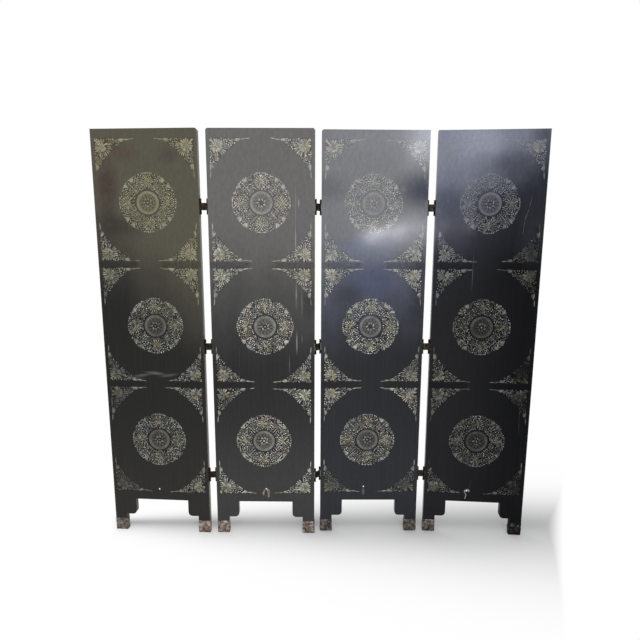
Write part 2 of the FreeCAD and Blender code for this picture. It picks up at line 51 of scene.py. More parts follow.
# %% [markdown]
# ## Each panel's own frame
# The panels stand at slightly different angles, so ornament is easiest to draw in a panel's
# own frame: u to the right along the front face, depth into the panel, z up, in metres. The
# largest face of the front board gives the direction, and its corners give the left edge.

# %% Find the frames of the four front faces
# a face looks to the front where its normal's y is below this
FRONT_LIMIT = -0.9


def panel_frame(panel):
    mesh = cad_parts[f"{panel}_front_board"].data
    fronts = [face for face in mesh.polygons if face.normal.y < FRONT_LIMIT]
    normal = max(fronts, key=lambda face: face.area).normal.copy()
    along = Vector((-normal.y, normal.x, 0)).normalized()
    depth = -normal
    left = min(vertex.co.dot(along) for vertex in mesh.vertices)
    face = min(vertex.co.dot(depth) for vertex in mesh.vertices)
    origin = along * left + depth * face
    return Matrix((
        (along.x, depth.x, 0, origin.x),
        (along.y, depth.y, 0, origin.y),
        (0, 0, 1, 0),
        (0, 0, 0, 1),
    ))


FRAMES = {panel: panel_frame(panel) for panel in PANELS}
TURNS = {panel: math.atan2(FRAMES[panel][1][0], FRAMES[panel][0][0]) for panel in PANELS}
board_box = [FRAMES["panel_1"].inverted() @ vertex.co
             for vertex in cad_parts["panel_1_front_board"].data.vertices]
PANEL_WIDTH = max(point.x for point in board_box)
PANEL_HEIGHT = max(point.z for point in board_box)
print("panel:", round(PANEL_WIDTH, 4), "by", round(PANEL_HEIGHT, 4), "turns:",
      [round(math.degrees(TURNS[panel]), 2) for panel in PANELS])

# %% [markdown]
# Several pieces share one node, such as the three medallions of a panel. Their places are
# read back as one box for each separate solid, so that what is built here sits on them.

# %% Read the box of every separate solid in a node
WELD_DISTANCE = 0.01 * MM


def solid_boxes(panel, piece):
    copy = bmesh.new()
    copy.from_mesh(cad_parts[f"{panel}_{piece}"].data)
    bmesh.ops.remove_doubles(copy, verts=copy.verts, dist=WELD_DISTANCE)
    bmesh.ops.transform(copy, matrix=FRAMES[panel].inverted(), verts=copy.verts)
    boxes = []
    waiting = set(copy.verts)
    while waiting:
        group = [waiting.pop()]
        points = []
        while group:
            vertex = group.pop()
            points.append(vertex.co.copy())
            for edge in vertex.link_edges:
                other = edge.other_vert(vertex)
                if other in waiting:
                    waiting.remove(other)
                    group.append(other)
        low = Vector([min(point[axis] for point in points) for axis in range(3)])
        high = Vector([max(point[axis] for point in points) for axis in range(3)])
        boxes.append((low, high))
    copy.free()
    return sorted(boxes, key=lambda box: (round(box[0].z, 3), box[0].x))


print("solids in the medallion node:", len(solid_boxes("panel_1", "medallions")))

# %% [markdown]
# ## The camera
# It stands where the photograph was taken from: about two metres in front of the screen, at
# a little over chest height, looking slightly down through a wide lens.

# %% Place the camera
CAMERA_PLACE = (0.0094, -1.9770, 1.3234)
CAMERA_PITCH = math.radians(8.677)
CAMERA_ROLL = math.radians(0.251)
CAMERA_LENS = 25.254
SENSOR_WIDTH = 36


def put_in_scene(name, data):
    thing = bpy.data.objects.new(name, data)
    bpy.context.scene.collection.objects.link(thing)
    return thing


camera = put_in_scene("camera", bpy.data.cameras.new("camera"))
camera.data.lens = CAMERA_LENS
camera.data.sensor_width = SENSOR_WIDTH
ahead = Vector((0, math.cos(CAMERA_PITCH), -math.sin(CAMERA_PITCH)))
level = Vector((1, 0, 0))
over = level.cross(ahead)
right = math.cos(CAMERA_ROLL) * level + math.sin(CAMERA_ROLL) * over
above = -math.sin(CAMERA_ROLL) * level + math.cos(CAMERA_ROLL) * over
camera.matrix_world = Matrix((
    (right.x, above.x, -ahead.x, CAMERA_PLACE[0]),
    (right.y, above.y, -ahead.y, CAMERA_PLACE[1]),
    (right.z, above.z, -ahead.z, CAMERA_PLACE[2]),
    (0, 0, 0, 1),
))
bpy.context.scene.camera = camera
bpy.context.scene.view_settings.view_transform = "Standard"
print("camera at", [round(x, 2) for x in camera.location])

# %% [markdown]
# ## Helpers for materials
# Colours are written as sRGB hex values, as a paint card gives them. The shaders reckon in
# linear light, so one small function turns every value linear.

# %% Turn a colour linear
def colour(hex_value, level=1.0):
    channels = [int(hex_value[place:place + 2], 16) / 255 for place in (1, 3, 5)]
    linear = [c / 12.92 if c <= 0.04045 else ((c + 0.055) / 1.055) ** 2.4 for c in channels]
    return (*[c * level for c in linear], 1.0)


print("a middle grey in linear light:", round(colour("#808080")[0], 3))

# %% [markdown]
# A material is a tree of nodes. One small function adds a node with its settings and links.
# It leaves the linking to another, which also feeds the shader at the end.

# %% Add nodes and link them
# settings that many nodes share: a soft passage from 0 at its first number to 1 at its
# second, which may be the smaller one, and a mix of colours
SMOOTH = {"interpolation_type": "SMOOTHSTEP"}
OF_COLOURS = {"data_type": "RGBA"}


def plug(tree, node, inputs):
    # inputs go by name in a dictionary, or in order in a list, over the sockets in use;
    # a node or a socket is linked, and any other value is set
    in_use = [socket for socket in node.inputs if socket.enabled]
    for key, value in inputs.items() if isinstance(inputs, dict) else enumerate(inputs):
        socket = node.inputs[key] if isinstance(key, str) else in_use[key]
        if isinstance(value, bpy.types.Node):
            value = next(output for output in value.outputs if output.enabled)
        if isinstance(value, bpy.types.NodeSocket):
            tree.links.new(value, socket)
        else:
            socket.default_value = value


def add(tree, kind, inputs=(), stops=(), **settings):
    # stops are the places and colours of a ramp
    node = tree.nodes.new("ShaderNode" + kind)
    for name, value in settings.items():
        setattr(node, name, value)
    if stops:
        elements = node.color_ramp.elements
        while len(elements) < len(stops):
            elements.new(1.0)
        for element, (place, tone) in zip(elements, stops):
            element.position = place
            element.color = tone
    plug(tree, node, inputs)
    return node


def new_material(name):
    material = bpy.data.materials.new(name)
    material.use_nodes = True
    tree = material.node_tree
    tree.nodes.clear()
    surface = add(tree, "BsdfPrincipled")
    add(tree, "OutputMaterial", {"Surface": surface})
    return material, tree, surface


print("settings that nodes share:", SMOOTH, OF_COLOURS)

# %% [markdown]
# Most finishes here start from a noise whose patches have a real size, so that ribs, dents and
# clouds are as large as on the real thing. The size is given in millimetres along the panel,
# into it and up.

# %% Give a pattern its real size
def pattern(tree, place, size, detail=2.0, roughness=0.5):
    # size is that of the patches in millimetres, along u, depth and z
    per_patch = [1 / (length * MM) for length in size]
    scaled = add(tree, "VectorMath", [place, per_patch], operation="MULTIPLY")
    return add(tree, "TexNoise", {
        "Vector": scaled, "Scale": 1.0, "Detail": detail, "Roughness": roughness})


print("patterns are sized in millimetres, and drawn in metres")

# %% [markdown]
# ## The studio
# A pale floor and a white surround. Rays that see the surround directly or in a reflection
# find plain white. Everything else is lit by an even grey sky and four soft lamps: a wide
# one high in front, two window-like ones to the right that give the lacquer part of its cool
# sheen, and a weak one behind. The rest of that sheen is painted into the lacquer's colour.

# %% Build the surround
SKY_LEVEL = 0.85


def build_surround():
    world = bpy.data.worlds.new("studio")
    bpy.context.scene.world = world
    world.use_nodes = True
    tree = world.node_tree
    tree.nodes.clear()
    rays = add(tree, "LightPath").outputs
    seen = add(tree, "Math", [rays["Is Camera Ray"], rays["Is Glossy Ray"]], operation="MAXIMUM")
    seen = add(tree, "Math", [seen, rays["Is Transmission Ray"]], operation="MAXIMUM")
    sky = add(tree, "Background", {"Color": colour("#FFFFFF"), "Strength": SKY_LEVEL})
    white = add(tree, "Background", {"Color": colour("#FFFFFF"), "Strength": 1.0})
    both = add(tree, "MixShader", [seen, sky, white])
    add(tree, "OutputWorld", {"Surface": both})


build_surround()
print("surround at level", SKY_LEVEL)

# %% Hang the soft lamps
def softbox(name, place, aim, size, power, tint, slant=0.0):
    lamp = bpy.data.lights.new(name, "AREA")
    lamp.shape = "RECTANGLE"
    lamp.size, lamp.size_y = size
    lamp.energy = power
    lamp.color = colour(tint)[:3]
    holder = put_in_scene(name, lamp)
    holder.location = place
    towards = (Vector(aim) - Vector(place)).to_track_quat("-Z", "Y")
    holder.rotation_euler = (towards @ Quaternion((0, 0, 1), math.radians(slant))).to_euler()


softbox("front_softbox", (-0.6, -3.2, 3.4), (0, 0, 1.0), (2.6, 1.2), 10, "#FFF8F0")
softbox("low_window_softbox", (0.87, -3.0, 1.53), (0.3, 0, 1.4), (0.66, 0.09), 9.8, "#F4F4FF", 9)
softbox("high_window_softbox", (1.25, -3.0, 2.5), (0.66, 0, 1.7), (0.42, 0.35), 12, "#E8EEFF")
softbox("back_softbox", (-2.2, 2.3, 2.2), (0, 0, 0.7), (1.2, 1.2), 16, "#FFFFFF")

# %% [markdown]
# The floor is pale and plain. Along the feet it is a real surface that takes their soft
# shadow, and there it is left grey in a long soft patch whose shape is set by place, not by
# the lamps: a painted shadow under the screen. It fades to the white of the surround in front
# and behind, faster at the left, and past the two ends of the screen, so that no horizon shows.

# %% Fade the floor's painted shadow to white
SHADOW_MIDDLE = (0.1, 0.06)
SHADOW_HALF_LENGTH = 1.09
END_FADE = 0.1
# the ends run outwards to the back
END_SLANT = 0.53
# the shade is narrower behind the screen than in front of it
BACK_FADE = 1.5
# how far the shade reaches at the left and the right, and how abruptly it then ends
FADE_LEFT = 0.04
FADE_RIGHT = 0.3
FADE_POWER = 1.5


def painted_shadow_fade(tree, place):
    # the share of white grows with the distance across the screen, and at its two ends; the grey
    # left along the screen is a painted shadow, under which the floor still takes the feet's real shadow
    axes = add(tree, "SeparateXYZ", [place]).outputs
    aside = add(tree, "Math", [axes["Y"], SHADOW_MIDDLE[1]], operation="SUBTRACT")
    before = add(tree, "Math", [aside, -1.0], operation="MULTIPLY")
    behind = add(tree, "Math", [aside, BACK_FADE], operation="MULTIPLY")
    aside = add(tree, "Math", [before, behind], operation="MAXIMUM")
    reach = add(tree, "MapRange", [axes["X"], -1.0, 1.0, FADE_LEFT, FADE_RIGHT])
    decay = add(tree, "Math", [aside, reach], operation="DIVIDE")
    decay = add(tree, "Math", [decay, FADE_POWER], operation="POWER")
    decay = add(tree, "Math", [decay, -1.0], operation="MULTIPLY")
    decay = add(tree, "Math", [decay], operation="EXPONENT")
    sides = add(tree, "Math", [1.0, decay], operation="SUBTRACT")
    slanted = add(tree, "Math", [axes["Y"], END_SLANT], operation="MULTIPLY")
    beyond = add(tree, "Math", [axes["X"], SHADOW_MIDDLE[0]], operation="SUBTRACT")
    beyond = add(tree, "Math", [beyond], operation="ABSOLUTE")
    beyond = add(tree, "Math", [beyond, slanted], operation="SUBTRACT")
    ends = add(tree, "MapRange", [beyond, SHADOW_HALF_LENGTH - END_FADE, SHADOW_HALF_LENGTH], **SMOOTH)
    return add(tree, "Math", [ends, sides], operation="MAXIMUM")


print("the shade is", 2 * SHADOW_HALF_LENGTH, "m long")

# %% Paint the floor
FLOOR_TONES = ("#B8B9B9", "#BEBEBD")
FLOOR_MOTTLES = (1000 / 3, 1000 / 3, 1000 / 3)


def floor_material():
    material, tree, surface = new_material("painted_floor")
    place = add(tree, "TexCoord").outputs["Object"]
    mottle = pattern(tree, place, FLOOR_MOTTLES, 4.0)
    tones = [(0.3, colour(FLOOR_TONES[0])), (0.7, colour(FLOOR_TONES[1]))]
    tone = add(tree, "ValToRGB", [mottle], tones)
    plug(tree, surface, {"Base Color": tone, "Roughness": 0.9, "Specular IOR Level": 0.1})
    rays = add(tree, "LightPath").outputs
    seen = add(tree, "Math", [rays["Is Camera Ray"], rays["Is Glossy Ray"]], operation="MAXIMUM")
    share = add(tree, "Math", [seen, painted_shadow_fade(tree, place)], operation="MULTIPLY")
    white = add(tree, "Emission", {"Color": colour("#FFFFFF"), "Strength": 1.0})
    both = add(tree, "MixShader", [share, surface, white])
    output = next(node for node in tree.nodes if node.type == "OUTPUT_MATERIAL")
    plug(tree, output, {"Surface": both})
    return material


print("floor tones:", FLOOR_TONES)

# %% Lay the floor
FLOOR_REACH = 5.0


def mesh_from(name, shape):
    mesh = bpy.data.meshes.new(name)
    shape.to_mesh(mesh)
    shape.free()
    return mesh


def lay_floor():
    shape = bmesh.new()
    bmesh.ops.create_circle(shape, cap_ends=True, segments=64, radius=FLOOR_REACH)
    floor = put_in_scene("floor", mesh_from("floor", shape))
    floor.data.materials.append(floor_material())


lay_floor()
print("floor laid, reach", FLOOR_REACH)

# %% [markdown]
# ## Worn black lacquer
# The boards are pine under many thin coats of black lacquer, rubbed down between coats. It
# is a low gloss, with the grain of the board showing through as fine upright ribs. Age has
# given it a grey bloom that is strongest high up, brown where light has burnt it, dust in
# the ribs, hairline scratches, and edges rubbed through to the brown ground. The pale, cool
# haze high on the panels is partly that bloom and partly a painted sheen: the reflection of a
# window painted into the colour, bluish on the two right-hand panels. Each panel has its own
# tone, so each gets its own material, whose pattern is laid in the panel's frame.

# %% Note how each panel has aged
# how much the lacquer shines; the last panel's is duller than the others'
SHINE = {"panel_1": 0.2, "panel_2": 0.2, "panel_3": 0.2, "panel_4": 0.04}
# how much dust the ribs hold
DUSTINESS = {"panel_1": 0.04, "panel_2": 0.05, "panel_3": 0.05, "panel_4": 0.02}
# for each panel: the heights where the bloom and painted sheen start and are full at the left
# edge, how much higher they are at the right edge, and how much bloom there is at the foot
BLOOM_AND_SHEEN_LINES = {
    "panel_1": (1.08, 1.72, -0.35, 0.10),
    "panel_2": (0.75, 1.62, -0.03, 0.20),
    "panel_3": (0.75, 1.62, 0.08, 0.04),
    "panel_4": (0.95, 1.85, 0.34, 0.02),
}
# the black at the left and right edges, then the tones with half and with full bloom and painted sheen
LACQUER_TONES = {
    "panel_1": ("#0E0E0E", "#161615", "#3D3B33", "#5A5648"),
    "panel_2": ("#1C1C1D", "#212122", "#4C4B4A", "#6E6D6A"),
    "panel_3": ("#1E1E1E", "#101011", "#505462", "#808184"),
    "panel_4": ("#262627", "#0B0B0C", "#2C2E37", "#888C9A"),
}
print("panels:", list(BLOOM_AND_SHEEN_LINES))

# %% [markdown]
# A stain is a soft spot of one colour: a pale smear or run, a burn, or a patch that has
# stayed black. Other spots are painted reflections: pale glows and a slanted sheen, and dark
# blue-grey patches where the reflected light falls away. No noise would put them where they
# are, so they are listed. The list ages the four panels in four ways, and paints some of
# their reflections.

# %% Note the stains and painted reflections
# soft stains and painted reflections: the middle from the left edge and the top in millimetres,
# half the width and height, the slant in degrees, the colour and the strength
STAINS_AND_REFLECTIONS = {
    "panel_1": [
        (60, 230, 70, 150, 0, "#463530", 0.85), (110, 400, 160, 80, 0, "#2E2B27", 0.6),
        (120, 90, 110, 60, 20, "#54443A", 0.6), (60, 380, 60, 120, 0, "#302D29", 0.5),
        (330, 110, 60, 50, 0, "#4A423E", 0.6), (165, 1064, 62, 10, -8, "#76746F", 0.5),
        (228, 1053, 62, 11, 5, "#807E78", 0.55), (290, 1062, 60, 9, -9, "#76746F", 0.45),
        (140, 1078, 50, 8, 0, "#66645F", 0.4),
    ],
    "panel_2": [
        (374, 330, 3, 170, 0, "#A5A5A6", 0.35), (374, 460, 4, 75, 0, "#B4B4B4", 0.55),
        (388, 302, 4, 22, 0, "#C8C8C8", 0.7), (400, 370, 40, 130, 0, "#6C6C74", 0.6),
        (376, 697, 4, 75, 0, "#A2A2A4", 0.7), (401, 730, 3.4, 75, 0, "#9A9A9C", 0.7),
        (378, 908, 4, 68, 0, "#A8A8AA", 0.75), (401, 888, 3, 26, 0, "#8A8A8C", 0.7),
        (345, 1010, 3, 60, 0, "#77777A", 0.7), (435, 730, 60, 110, 0, "#242425", 0.5),
        (232, 1624, 26, 34, 0, "#454343", 0.8),
    ],
    # on this panel all the wide spots are painted reflections: pale blue glows below the top medallion, a
    # pale band of sheen along the top, and darker blue-grey patches where the sheen falls away; the small
    # one low down is a smudge below the nail
    "panel_3": [
        (460, 245, 210, 120, 0, "#3A3E4C", 0.95), (20, 240, 150, 90, 0, "#525459", 0.45),
        (190, 500, 190, 100, 0, "#6E7588", 0.8), (230, 625, 150, 120, 0, "#4E5574", 0.7),
        (450, 600, 110, 160, 0, "#30343E", 0.8), (203, 1626, 10, 26, 0, "#6A6866", 0.9),
        (120, 700, 120, 90, 0, "#33363F", 0.6), (228, 30, 270, 110, 0, "#8A8B90", 0.6),
        (445, 760, 110, 130, 0, "#1E2026", 0.7),
    ],
    # on this panel the slanted pale spot along the top is a painted sheen, and the wide blue-grey spots
    # round it are painted reflections, lighter and darker; the thin upright one is a run
    "panel_4": [
        (170, 590, 3, 120, 0, "#5A5A60", 0.7), (20, 290, 170, 100, 0, "#3E4254", 0.55),
        (330, 140, 140, 80, 0, "#3A3C48", 0.55), (440, 15, 90, 60, 0, "#4A4C58", 0.7),
        (80, 490, 110, 90, 0, "#3A3C46", 0.5), (425, 420, 110, 230, 0, "#303238", 0.7),
        (200, 60, 180, 60, -12, "#9498A6", 0.3),
    ],
}
print("stains:", {panel: len(spots) for panel, spots in STAINS_AND_REFLECTIONS.items()})

# %% [markdown]
# Stains, painted reflections and the bloom with its painted sheen are laid in the panel's own
# frame, which one mapping node finds. The bloom and sheen pass from black over half to full,
# along a line that slants across the panel and wanders a little.

# %% Find the panel's frame in a material
def panel_coordinates(tree, panel):
    # an inverse mapping takes the screen's frame to the panel's own
    return add(tree, "Mapping", {
        "Vector": add(tree, "TexCoord").outputs["Object"],
        "Location": FRAMES[panel].to_translation(),
        "Rotation": (0, 0, TURNS[panel]),
    }, vector_type="TEXTURE")


print("materials can be laid in the frames of", len(FRAMES), "panels")

# %% Lay the stains and painted reflections
# stains and painted reflections lie on the front face alone
SPOT_DEPTH = 12 * MM
# those with half their width in millimetres below this are streaked
WIDEST_STREAK = 8
# sizes of the patterns in millimetres, along u, depth and z
SPOT_CLOUDS = (40, 40, 40)
SPOT_STREAKS = (3, 30, 60)


def spot_stains_and_reflections(tree, place, tone, spots):
    clouds = pattern(tree, place, SPOT_CLOUDS, 4.0)
    streaks = pattern(tree, place, SPOT_STREAKS, 3.0)
    for u, v, half_width, half_height, slant, hex_value, strength in spots:
        spot = add(tree, "Mapping", {
            "Vector": place,
            "Location": (u * MM, 0, PANEL_HEIGHT - v * MM),
            "Rotation": (0, math.radians(slant), 0),
            "Scale": (half_width * MM, SPOT_DEPTH, half_height * MM),
        }, vector_type="TEXTURE")
        reach = add(tree, "VectorMath", [spot], operation="LENGTH")
        near = add(tree, "MapRange", [reach, 1.0, 0.1], **SMOOTH)
        broken = streaks if half_width < WIDEST_STREAK else clouds
        broken = add(tree, "MapRange", [broken, 0.15, 0.5, 0.0, strength], **SMOOTH)
        share = add(tree, "Math", [near, broken], operation="MULTIPLY")
        tone = add(tree, "Mix", [share, tone, colour(hex_value)], **OF_COLOURS)
    return tone


print("stains under", 2 * WIDEST_STREAK, "mm wide are streaked")

# %% Lay the bloom and the painted sheen
# the size of the pattern in millimetres
BLOOM_AND_SHEEN_CLOUDS = (160, 160, 256)
# the edge of the bloom and painted sheen wanders up and down by this much, in metres
CLOUD_LIFT = 0.25
# the bloom near the floor is full below the second of these heights
FOOT_HEIGHTS = (0.75, 0.2)


def lacquer_tone(tree, place, panel):
    # share is 0 where the surface is still deep black, and 1 where the bloom and painted sheen are full
    low, high, slant, foot_bloom = BLOOM_AND_SHEEN_LINES[panel]
    left_black, right_black, half_bloom_and_sheen, full_bloom_and_sheen = [colour(tone) for tone in LACQUER_TONES[panel]]
    axes = add(tree, "SeparateXYZ", [place]).outputs
    rise = add(tree, "Math", [axes["X"], -slant / PANEL_WIDTH], operation="MULTIPLY")
    line = add(tree, "Math", [axes["Z"], rise], operation="ADD")
    cloud = pattern(tree, place, BLOOM_AND_SHEEN_CLOUDS, 3.0)
    lift = add(tree, "Math", [cloud, CLOUD_LIFT], operation="MULTIPLY")
    line = add(tree, "Math", [line, lift], operation="ADD")
    share = add(tree, "MapRange", [line, low + CLOUD_LIFT / 2, high + CLOUD_LIFT / 2], **SMOOTH)
    foot = add(tree, "MapRange", [axes["Z"], *FOOT_HEIGHTS, 0.0, foot_bloom], **SMOOTH)
    share = add(tree, "Math", [share, foot], operation="MAXIMUM")
    across = add(tree, "MapRange", [axes["X"], 0.0, PANEL_WIDTH], **SMOOTH)
    tone = add(tree, "Mix", [across, left_black, right_black], **OF_COLOURS)
    # the pale, cool tones high up are partly bloom and partly a painted sheen, a window's reflection
    half = add(tree, "MapRange", [share, -0.1, 0.42], **SMOOTH)
    tone = add(tree, "Mix", [half, tone, half_bloom_and_sheen], **OF_COLOURS)
    full = add(tree, "MapRange", [share, 0.3, 1.0], **SMOOTH)
    tone = add(tree, "Mix", [full, tone, full_bloom_and_sheen], **OF_COLOURS)
    return spot_stains_and_reflections(tree, place, tone, STAINS_AND_REFLECTIONS[panel]), share


print("the bloom wanders by", CLOUD_LIFT, "m")

# %% [markdown]
# The coat itself is mottled. It has ribs with dust in them, hairlines and rubbed edges, and
# smudges that make its gloss uneven. The inlay is rubbed level with it, so it gets the same
# gloss by the same function.

# %% Polish a surface
# the size of the pattern in millimetres
SMUDGES = (160, 160, 160)
# smudges make the gloss uneven between these two roughnesses
SMUDGED_ROUGHNESS = (0.09, 0.18)


def polish(tree, place, surface, panel):
    smudge = pattern(tree, place, SMUDGES, 4.0)
    gloss = add(tree, "MapRange", [smudge, 0.3, 0.7, *SMUDGED_ROUGHNESS])
    plug(tree, surface, {"Roughness": gloss, "Specular IOR Level": SHINE[panel]})


print("roughness:", SMUDGED_ROUGHNESS)

# %% Make the lacquer
# sizes of the patterns in millimetres, along u, depth and z; the real ribs are about 3 mm
# apart, which is too fine to show, so they are drawn coarser
RIBS = (7, 30, 500)
HAIRLINES = (3, 50, 240)
HAIRLINE_AREAS = (60, 60, 120)
MOTTLES = (14, 14, 26)
RUBBED_PATCHES = (12, 12, 30)
HAIRLINE_SLANT = math.radians(2.5)
RIB_RELIEF = 0.5 * MM
DUST = "#8C8880"
HAIRLINE = "#A8A49C"
EDGE_WEAR_WIDTH = 5 * MM
WORN_GROUND = "#6B5A4A"


def lacquer(panel):
    material, tree, surface = new_material(f"black_lacquer_{panel}")
    place = panel_coordinates(tree, panel)
    axes = add(tree, "SeparateXYZ", [place]).outputs
    tone = lacquer_tone(tree, place, panel)[0]

    # mottling: the surface is nowhere quite even
    mottle = pattern(tree, place, MOTTLES, 5.0, 0.65)
    even = add(tree, "MapRange", [mottle, 0.3, 0.7], **SMOOTH)
    darker = add(tree, "Mix", [0.16, tone, colour("#000000")], **OF_COLOURS)
    tone = add(tree, "Mix", [even, darker, tone], **OF_COLOURS)

    # upright ribs of the grain, and dust in them
    ribs = pattern(tree, place, RIBS, 3.0, 0.6)
    dust = add(tree, "MapRange", [ribs, 0.42, 0.75, 0.0, DUSTINESS[panel]], **SMOOTH)
    dusty = add(tree, "Mix", [0.5, tone, colour(DUST)], **OF_COLOURS)
    tone = add(tree, "Mix", [dust, tone, dusty], **OF_COLOURS)

    # hairlines: sparse, nearly upright, a little paler than the lacquer
    slanted = add(tree, "Mapping", {"Vector": place, "Rotation": (0, HAIRLINE_SLANT, 0)})
    hairs = add(tree, "MapRange", [pattern(tree, slanted, HAIRLINES, 1.0), 0.70, 0.76], **SMOOTH)
    areas = pattern(tree, place, HAIRLINE_AREAS, 1.0)
    areas = add(tree, "MapRange", [areas, 0.5, 0.66, 0.0, DUSTINESS[panel]], **SMOOTH)
    scratched = add(tree, "Math", [hairs, areas], operation="MULTIPLY")
    tone = add(tree, "Mix", [scratched, tone, colour(HAIRLINE)], **OF_COLOURS)

    # edges rubbed through to the brown ground, in broken patches
    left = add(tree, "MapRange", [axes["X"], EDGE_WEAR_WIDTH, 0.0], **SMOOTH)
    right = add(tree, "MapRange", [axes["X"], PANEL_WIDTH - EDGE_WEAR_WIDTH, PANEL_WIDTH], **SMOOTH)
    top = add(tree, "MapRange", [axes["Z"], PANEL_HEIGHT - EDGE_WEAR_WIDTH, PANEL_HEIGHT], **SMOOTH)
    edge = add(tree, "Math", [left, right], operation="MAXIMUM")
    edge = add(tree, "Math", [edge, top], operation="MAXIMUM")
    patches = pattern(tree, place, RUBBED_PATCHES, 4.0, 0.7)
    bare = add(tree, "MapRange", [patches, 0.52, 0.62, 0.0, 0.75], **SMOOTH)
    worn = add(tree, "Math", [edge, bare], operation="MULTIPLY")
    tone = add(tree, "Mix", [worn, tone, colour(WORN_GROUND)], **OF_COLOURS)

    relief = add(tree, "Bump", {"Height": ribs, "Strength": 0.2, "Distance": RIB_RELIEF})
    plug(tree, surface, {"Base Color": tone, "Normal": relief})
    polish(tree, place, surface, panel)
    return material


LACQUERS = {panel: lacquer(panel) for panel in PANELS}
print("lacquers:", len(LACQUERS))

# %% [markdown]
# ## Metals and bare wood
# The shoes are thin sheet brass, hammered round the feet and kicked for decades: brown with
# tarnish, rubbed bright and coppery on every bulge. The hinges are darker, and the few
# polished nails bright, their near-white tone a painted glint. Inside, the frame is filled
# with bare softwood.

# %% Make the metals
# the size of the pattern in millimetres
METAL_GRAIN = (2, 2, 2)
METAL_RELIEF = 0.3 * MM
TARNISHED_ROUGHER = 0.35


def brass(name, tones, patch_size, roughness, shift):
    # tones: dark tarnish, the common one, and the rubbed metal, whose roughness is given
    material, tree, surface = new_material(name)
    place = add(tree, "TexCoord").outputs["Object"]
    shifted = add(tree, "VectorMath", [place, (shift, shift, shift)], operation="ADD")
    patches = pattern(tree, shifted, (patch_size, patch_size, patch_size), 6.0, 0.65)
    stops = [(share, colour(tone)) for share, tone in zip((0.34, 0.5, 0.66), tones)]
    dull = add(tree, "MapRange", [patches, 0.35, 0.65, roughness + TARNISHED_ROUGHER, roughness])
    grain = pattern(tree, shifted, METAL_GRAIN, 4.0)
    relief = add(tree, "Bump", {"Height": grain, "Strength": 0.3, "Distance": METAL_RELIEF})
    plug(tree, surface, {
        "Base Color": add(tree, "ValToRGB", [patches], stops),
        "Metallic": 0.9,
        "Roughness": dull,
        "Normal": relief,
    })
    return material


TARNISHED_BRASS = brass("tarnished_sheet_brass", ("#38312D", "#857770", "#C4B3A2"), 16, 0.35, 0.0)
GREYED_BRASS = brass("greyed_sheet_brass", ("#282524", "#605A54", "#968E86"), 16, 0.4, 2.0)
BLACKENED_BRASS = brass("blackened_sheet_brass", ("#121110", "#242120", "#4E4640"), 16, 0.45, 3.0)
# the polished nail is near white: a painted glint in place of the yellow of the brass
NAIL_BRASS_WITH_GLINT = brass("nail_brass_painted_glint", ("#E9E4D8", "#F6F3EA", "#FFFDF8"), 4, 0.3, 5.0)
HINGE_BRASS = brass("dark_hinge_brass", ("#191714", "#2C2820", "#564A33"), 9, 0.45, 7.0)
SCREW_BRASS = brass("screw_brass", ("#5A4A2C", "#8C7748", "#C9B47C"), 3, 0.3, 9.0)
PIN_BRASS = brass("rubbed_pin_brass", ("#2E281C", "#6A5C40", "#A8946A"), 5, 0.3, 11.0)
print("metals, with the model's own:", sum("brass" in material.name for material in bpy.data.materials))

# %% Make the bare softwood
# yearly rings 7 mm apart, drawn out along the board
RINGS = (7, 7, 260)
RING_RELIEF = 0.4 * MM


def matt_material(name, size, detail, stops, roughness, shine=0.5, relief_depth=None):
    # a matt surface in three tones, for bare wood and rubbed ground
    material, tree, surface = new_material(name)
    patches = pattern(tree, add(tree, "TexCoord").outputs["Object"], size, detail)
    stops = [(share, colour(tone)) for share, tone in stops]
    plug(tree, surface, {
        "Base Color": add(tree, "ValToRGB", [patches], stops),
        "Roughness": roughness,
        "Specular IOR Level": shine,
    })
    if relief_depth:
        relief = add(tree, "Bump", {"Height": patches, "Strength": 0.4, "Distance": relief_depth})
        plug(tree, surface, {"Normal": relief})
    return material


SOFTWOOD = matt_material(
    "bare_sawn_softwood", RINGS, 4.0, ((0.35, "#B48A5C"), (0.5, "#CFA978"), (0.65, "#9C7044")), 0.7,
    relief_depth=RING_RELIEF)
print("softwood ready")

# %% Dress the parts of the model that keep their shape
def dress(node, material):
    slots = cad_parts[node].data.materials
    slots.clear()
    slots.append(material)


for panel in PANELS:
    for piece in ("left_stile", "right_stile", "rails", "apron", "front_board", "back_board"):
        dress(f"{panel}_{piece}", LACQUERS[panel])
    dress(f"{panel}_core_boards", SOFTWOOD)
    dress(f"{panel}_hinge_screws", SCREW_BRASS)
    for side in ("left", "right"):
        if f"{panel}_{side}_hinge_leaves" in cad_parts:
            dress(f"{panel}_{side}_hinge_leaves", HINGE_BRASS)
for link in ("link_12", "link_23", "link_34"):
    dress(f"{link}_links", HINGE_BRASS)
    dress(f"{link}_pins", PIN_BRASS)
print("nodes with a material:", sum(1 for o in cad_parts.values() if o.data.materials))

# %% [markdown]
# ## The inlay's materials
# Thin slips of mother-of-pearl, with gilt touches in the flowers, rubbed level with the
# lacquer. Every slip differs: cream, greenish, peach, bluish white, and some have lost their
# face. Each slip carries a number of its own as an attribute, which picks its tone, and a
# broad noise dims whole areas where hands have rubbed them. Each panel's inlay has its own
# level, partly wear and partly painted shade, and the bloom with its painted sheen lies over
# it as a pale film, which also paints the stronger light high on the panels. The slips lie in
# a bed of black that has kept its depth where the open lacquer round them has bloomed and
# carries the painted sheen.

# %% Note how worn and how shaded each panel's inlay is
# how bright the inlay of each panel is: partly how well it has kept its brightness, and partly painted
# shade, deepest on the last panel
INLAY_WEAR_AND_SHADE = {"panel_1": 0.62, "panel_2": 1.07, "panel_3": 0.86, "panel_4": 0.34}
# how much of the inlay and of its bed the full bloom and painted sheen veil
SLIP_FILMS = {"panel_1": 0.5, "panel_2": 0.45, "panel_3": 0.5, "panel_4": 0.72}
BED_FILMS = {"panel_1": 0.2, "panel_2": 0.35, "panel_3": 0.5, "panel_4": 0.9}
